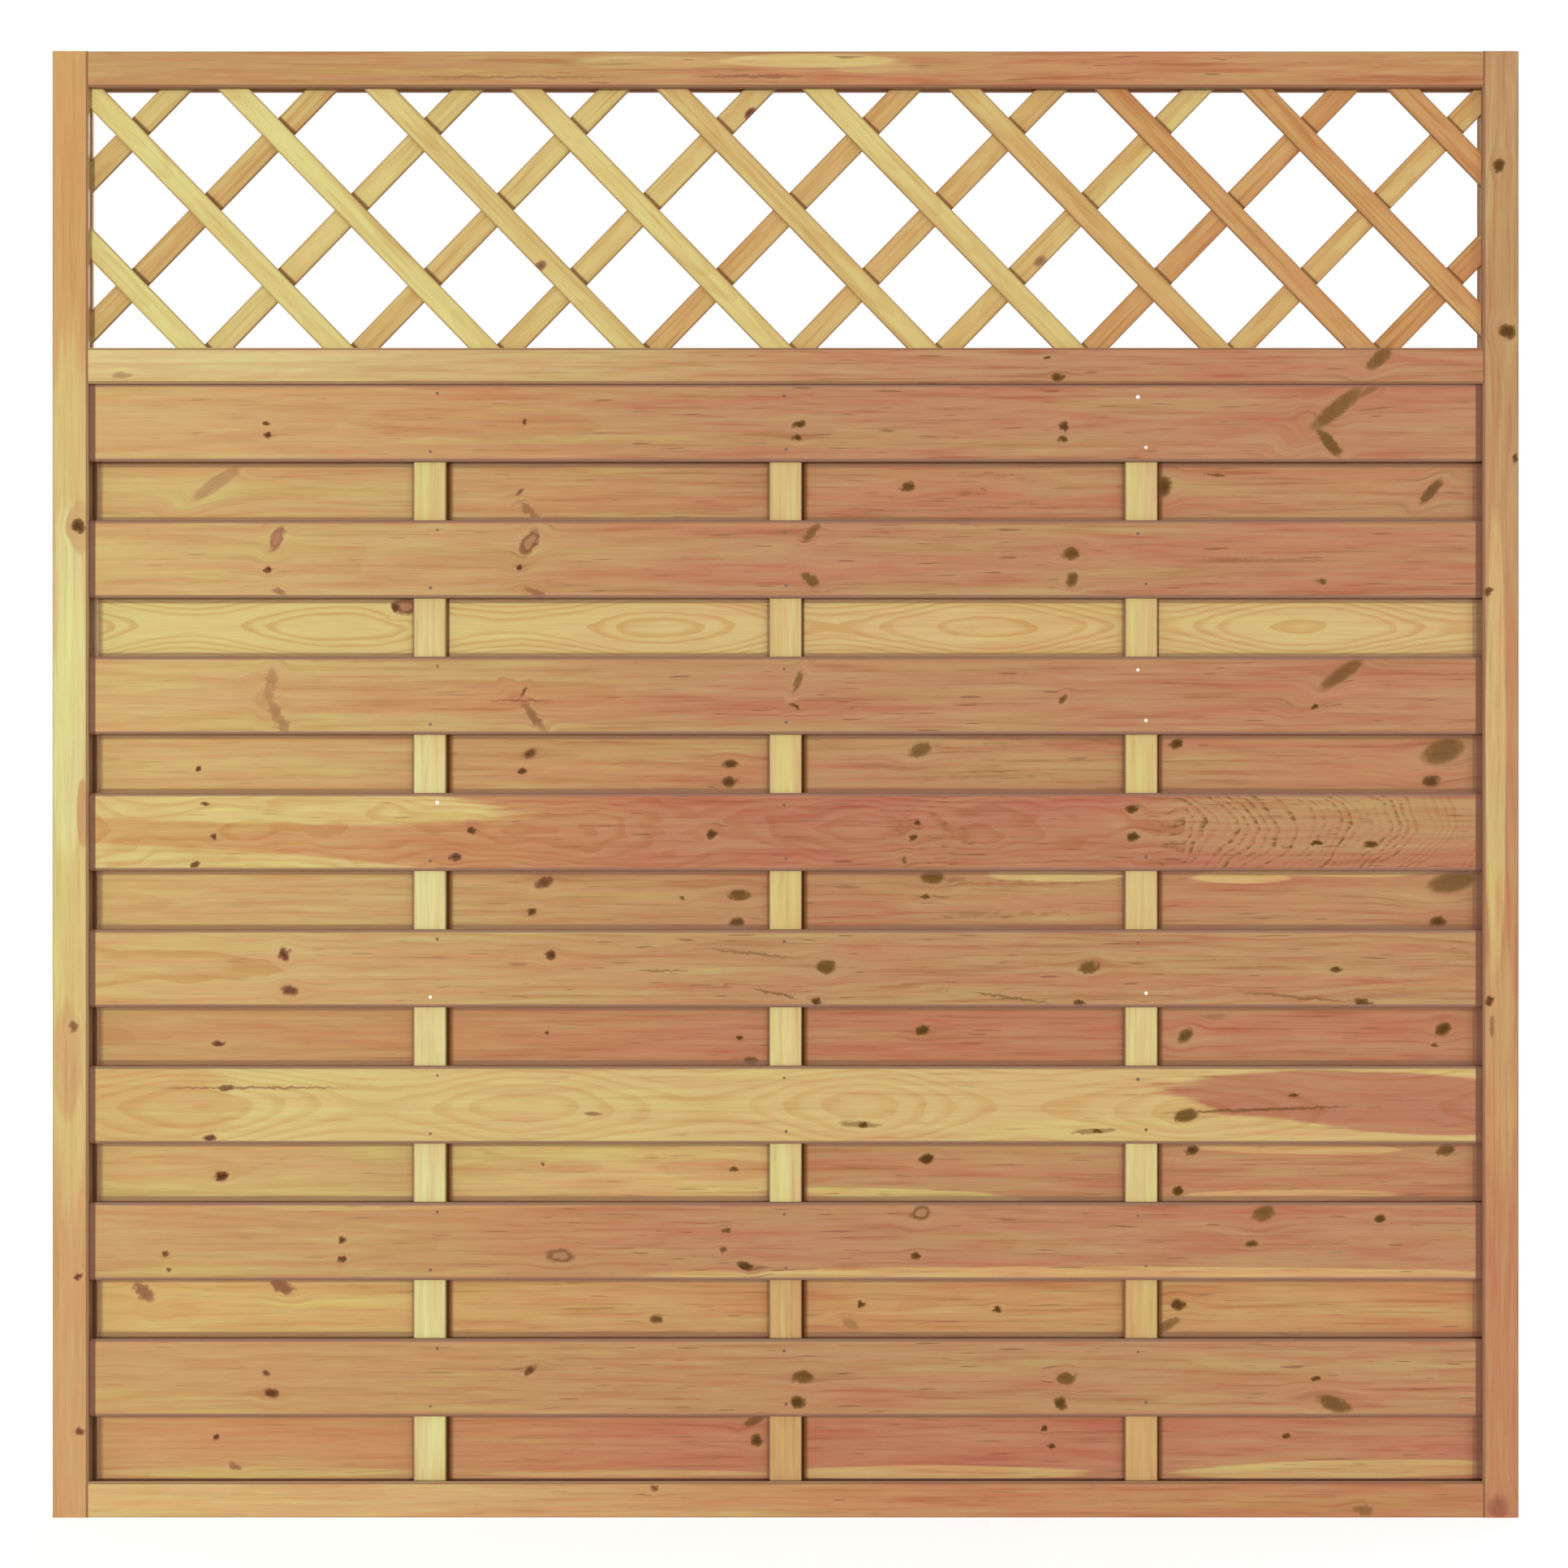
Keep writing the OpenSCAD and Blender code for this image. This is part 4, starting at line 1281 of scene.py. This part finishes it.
def finish_steel():
    material, tree, principled = new_material("nail_steel")
    bright = carried(tree, "bright", "Fac")
    place = add_node(tree, "ShaderNodeTexCoord").outputs["Object"]
    wires = {"Vector": place, "Scale": SPECKS_PER_METRE, "Detail": 2.0}
    mottle = add_node(tree, "ShaderNodeTexNoise", wires).outputs[0]
    specks = soft_step(tree, mottle, 0.35, 0.65)
    dull = lay_over(tree, specks, *DARK_STEEL)
    clean = lay_over(tree, specks, *BRIGHT_STEEL)
    tree.links.new(lay_over(tree, bright, dull, clean), principled.inputs["Base Color"])
    tree.links.new(times(tree, bright, 0.4), principled.inputs["Metallic"])
    tree.links.new(soft_step(tree, mottle, 0.3, 0.7, 0.4, 0.6), principled.inputs["Roughness"])
    return material


steel = finish_steel()
print("steel nodes:", len(steel.node_tree.nodes))


# %% [markdown]
# On the real panel no two nails stand quite in line, because a hand holds them. So each is moved a few
# millimetres from its place. The ones that stayed bright are named by slat, batten and end.

# %% Nail the slats to the battens
NAIL_BELOW_TOP = 14
NAIL_ABOVE_BOTTOM = 15
NAIL_SHIFT = 5
RIGHT_OF_MIDDLE = {1: 6, 2: 0, 3: 0}
BRIGHT_NAILS = {(1, 3, "top"), (1, 3, "bottom"), (3, 3, "top"), (3, 3, "bottom"), (4, 1, "top"),
                (5, 1, "bottom"), (5, 3, "bottom")}


def sway_of(slat, batten, height):
    """How far a nail strays from its line, in metres: a smooth number that differs for every nail."""
    return math.sin(slat * 2.1 + batten * 1.3 + height * 50) * NAIL_SHIFT * MM


def slat_nails(layer, outward):
    """The place of every nail of one layer of slats, and whether its head is bright."""
    points = []
    bright = []
    for slat in range(1, 9):
        slat_low, slat_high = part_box(f"{layer}_slat_{slat}")
        face = slat_low.y if outward < 0 else slat_high.y
        heights = {"top": slat_high.z - NAIL_BELOW_TOP * MM, "bottom": slat_low.z + NAIL_ABOVE_BOTTOM * MM}
        for batten in (1, 2, 3):
            batten_low, batten_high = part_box(f"batten_{batten}")
            across = (batten_low.x + batten_high.x) / 2 + RIGHT_OF_MIDDLE[batten] * MM
            for end, height in heights.items():
                sway = sway_of(slat, batten, height)
                points.append((across + sway, face, height + sway / 2))
                bright.append(float(layer == "front" and (slat, batten, end) in BRIGHT_NAILS))
    return points, bright


nails = []
for layer, outward in (("front", -1.0), ("back", 1.0)):
    points, bright = slat_nails(layer, outward)
    settings = {"Head Radius": NAIL_RADIUS, "Head Height": NAIL_HEIGHT, "Seed": NAIL_SEED, "Steel": steel}
    notes = {"outward": [outward] * len(points), "bright": bright}
    nails.append(run_nodes(f"{layer}_slat_nails", nail_tree, settings, points, notes))
    print(nails[-1].name, "nails:", len(points), "faces:", len(nails[-1].data.polygons))


# %% [markdown]
# The laths are stapled together from behind, one staple at each crossing. A staple is a bent wire: a crown
# that stays outside and two legs that go in. The nodes bend the wire once and put it on every crossing.

# %% One staple
STAPLE_HALF_WIDTH = 0.005
WIRE_RADIUS = 0.0006
WIRE_BEND = 0.0008
LEG_DEPTH = 0.002


def bent_wire(tree, given):
    """One staple: a crown with two legs, made by drawing a round wire along a bent line."""
    half = given["Crown Half Width"]
    other = times(tree, half, -1.0)
    proud = times(tree, given["Wire Radius"], 0.4)
    crown = add_node(tree, "GeometryNodeCurvePrimitiveQuadrilateral", mode="POINTS")
    corners = ((other, -LEG_DEPTH), (other, proud), (half, proud), (half, -LEG_DEPTH))
    for number, (x, depth) in enumerate(corners, 1):
        tree.links.new(point_of(tree, x, depth), crown.inputs[f"Point {number}"])
    line = bend_round(tree, crown.outputs[0], WIRE_BEND)
    wires = {"Resolution": 6, "Radius": given["Wire Radius"]}
    wire = add_node(tree, "GeometryNodeCurvePrimitiveCircle", wires).outputs[0]
    return add_node(tree, "GeometryNodeCurveToMesh", {"Curve": line, "Profile Curve": wire}).outputs[0]


# %% Geometry Nodes: staples at the crossings
STAPLE_SEED = 5
STAPLE_TURNS = ((0, -0.5, 0), (0, 0.9, 0))


def drive_staples():
    tree, given, wanted = new_group(
        "Drive Staples", "GeometryNodeTree",
        [("Geometry", GEOMETRY, None), ("Crown Half Width", FLOAT, STAPLE_HALF_WIDTH),
         ("Wire Radius", FLOAT, WIRE_RADIUS), ("Seed", WHOLE, STAPLE_SEED), ("Steel", MATERIAL, None)],
        [("Geometry", GEOMETRY)],
    )
    wires = {0: STAPLE_TURNS[0], 1: STAPLE_TURNS[1], "Seed": given["Seed"]}
    turn = add_node(tree, "FunctionNodeRandomValue", wires, data_type="FLOAT_VECTOR").outputs[0]
    put = put_on_points(tree, given["Geometry"], bent_wire(tree, given), Rotation=turn)
    hand_on(tree, make_real(tree, put), given["Steel"], wanted)
    return tree


staple_tree = drive_staples()
print("staple tree nodes:", len(staple_tree.nodes))


# %% [markdown]
# A staple goes wherever a lath of one layer crosses a lath of the other inside the opening. The places could
# be typed in one by one, but the crossings lie on a regular net, so they are counted out from the middle.

# %% Staple the crossings
# Staples are painted partway towards the near-white painted highlight of bare steel
STAPLE_BRIGHTNESS = 0.6


def crossings():
    """The points where a front lath and a back lath cross inside the opening, on the back of the lattice."""
    margin = LATH_WIDTH / 2 * MM
    left = POST_FACE * MM + margin
    right = 2 * panel_middle.x - left
    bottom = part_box("mid_rail")[1].z + margin
    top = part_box("top_rail")[0].z - margin
    places = range(-(LATH_COUNT // 2), LATH_COUNT // 2 + 1)
    steepness = math.tan(math.radians(LATH_LEAN))
    found = []
    for front in places:
        for back in places:
            x = crossing_x + (front + back) / 2 * LATH_SPACING * MM
            z = crossing_z + (front - back) / 2 * LATH_SPACING * MM * steepness
            if left < x < right and bottom < z < top:
                found.append((x, lattice_high.y, z))
    return found


points = crossings()
staples = run_nodes("lath_staples", staple_tree, {
    "Crown Half Width": STAPLE_HALF_WIDTH, "Wire Radius": WIRE_RADIUS, "Seed": STAPLE_SEED, "Steel": steel,
}, points, {"bright": [STAPLE_BRIGHTNESS] * len(points)})
print("staples:", len(points), "faces:", len(staples.data.polygons))

# %% [markdown]
# The world is white to the camera and to anything glossy, and gives a plain fill to the rest. One broad lamp
# stands to the left and a little above, so the slats behind take a shadow from the ones in front. A weak one
# at the right opens up those shadows, and another lights the back.

# %% The light
FILL_LIGHT = 0.42
LAMP_DISTANCE = 3


def white_world():
    world = bpy.data.worlds.new("white_world")
    bpy.context.scene.world = world
    world.use_nodes = True
    tree = world.node_tree
    tree.nodes.clear()
    path = add_node(tree, "ShaderNodeLightPath").outputs
    seen = reckon(tree, "MAXIMUM", path["Is Glossy Ray"], path["Is Transmission Ray"])
    seen = reckon(tree, "MAXIMUM", path["Is Camera Ray"], seen)
    strength = soft_step(tree, seen, 0.0, 1.0, FILL_LIGHT, 1.0)
    light = add_node(tree, "ShaderNodeBackground", {"Color": (1, 1, 1, 1), "Strength": strength})
    out = add_node(tree, "ShaderNodeOutputWorld")
    tree.links.new(light.outputs[0], out.inputs[0])


def hang_sun(name, strength, from_left, above, softness):
    """A lamp very far away. from_left and above are in degrees off the straight line to the panel."""
    data = bpy.data.lights.new(name, "SUN")
    data.energy = strength
    data.angle = math.radians(softness)
    lamp = add_object(name, data)
    turn = math.radians(from_left)
    lift = math.radians(above)
    level = math.cos(lift)
    towards = Vector((-math.sin(turn) * level, -math.cos(turn) * level, math.sin(lift)))
    lamp.rotation_euler = towards.to_track_quat("Z", "Y").to_euler()
    lamp.location = panel_middle + towards * LAMP_DISTANCE


white_world()
hang_sun("key_lamp", strength=1.6, from_left=13, above=2, softness=3)
hang_sun("side_lamp", strength=0.3, from_left=-28, above=8, softness=12)
hang_sun("back_lamp", strength=1.6, from_left=200, above=15, softness=10)
print("lamps:", len(bpy.data.lights), " fill light:", FILL_LIGHT)


# %% [markdown]
# The panel stands on a broad matt floor, as in a studio. The floor glows a little to the camera alone, so it
# runs into the white behind it and doesn't light the wood from below.

# %% The floor
FLOOR_REACH = 12
FLOOR_GLOW = 0.66
FLOOR_GREY = (0.8, 0.8, 0.8, 1)
FLOOR_ROUGHNESS = 0.9


def lay_floor():
    corners = [(panel_middle.x + x * FLOOR_REACH, y * FLOOR_REACH, cad_low.z)
               for x, y in ((-1, -1), (1, -1), (1, 1), (-1, 1))]
    mesh = bpy.data.meshes.new("floor")
    mesh.from_pydata(corners, [], [(0, 1, 2, 3)])
    material, tree, matt = new_material("floor_paint")
    matt.inputs["Base Color"].default_value = FLOOR_GREY
    matt.inputs["Roughness"].default_value = FLOOR_ROUGHNESS
    matt.inputs["Emission Color"].default_value = (1, 1, 1, 1)
    seen = add_node(tree, "ShaderNodeLightPath").outputs["Is Camera Ray"]
    tree.links.new(times(tree, seen, FLOOR_GLOW), matt.inputs["Emission Strength"])
    mesh.materials.append(material)
    return add_object("floor", mesh)


floor = lay_floor()
print("floor laid at, mm:", round(floor.data.vertices[0].co.z / MM, 1))

bpy.context.scene.view_settings.view_transform = "Standard"

# %% [markdown]
# The laths stand in for the plain lattice of the imported model, which is left out of the picture. Everything
# rides on the one body that the panel has.

# %% Attach the new pieces to the panel's body
for layer in layers:
    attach(layer, "root")
    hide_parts("lattice")
for fastening in (*nails, staples):
    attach(fastening, "root")
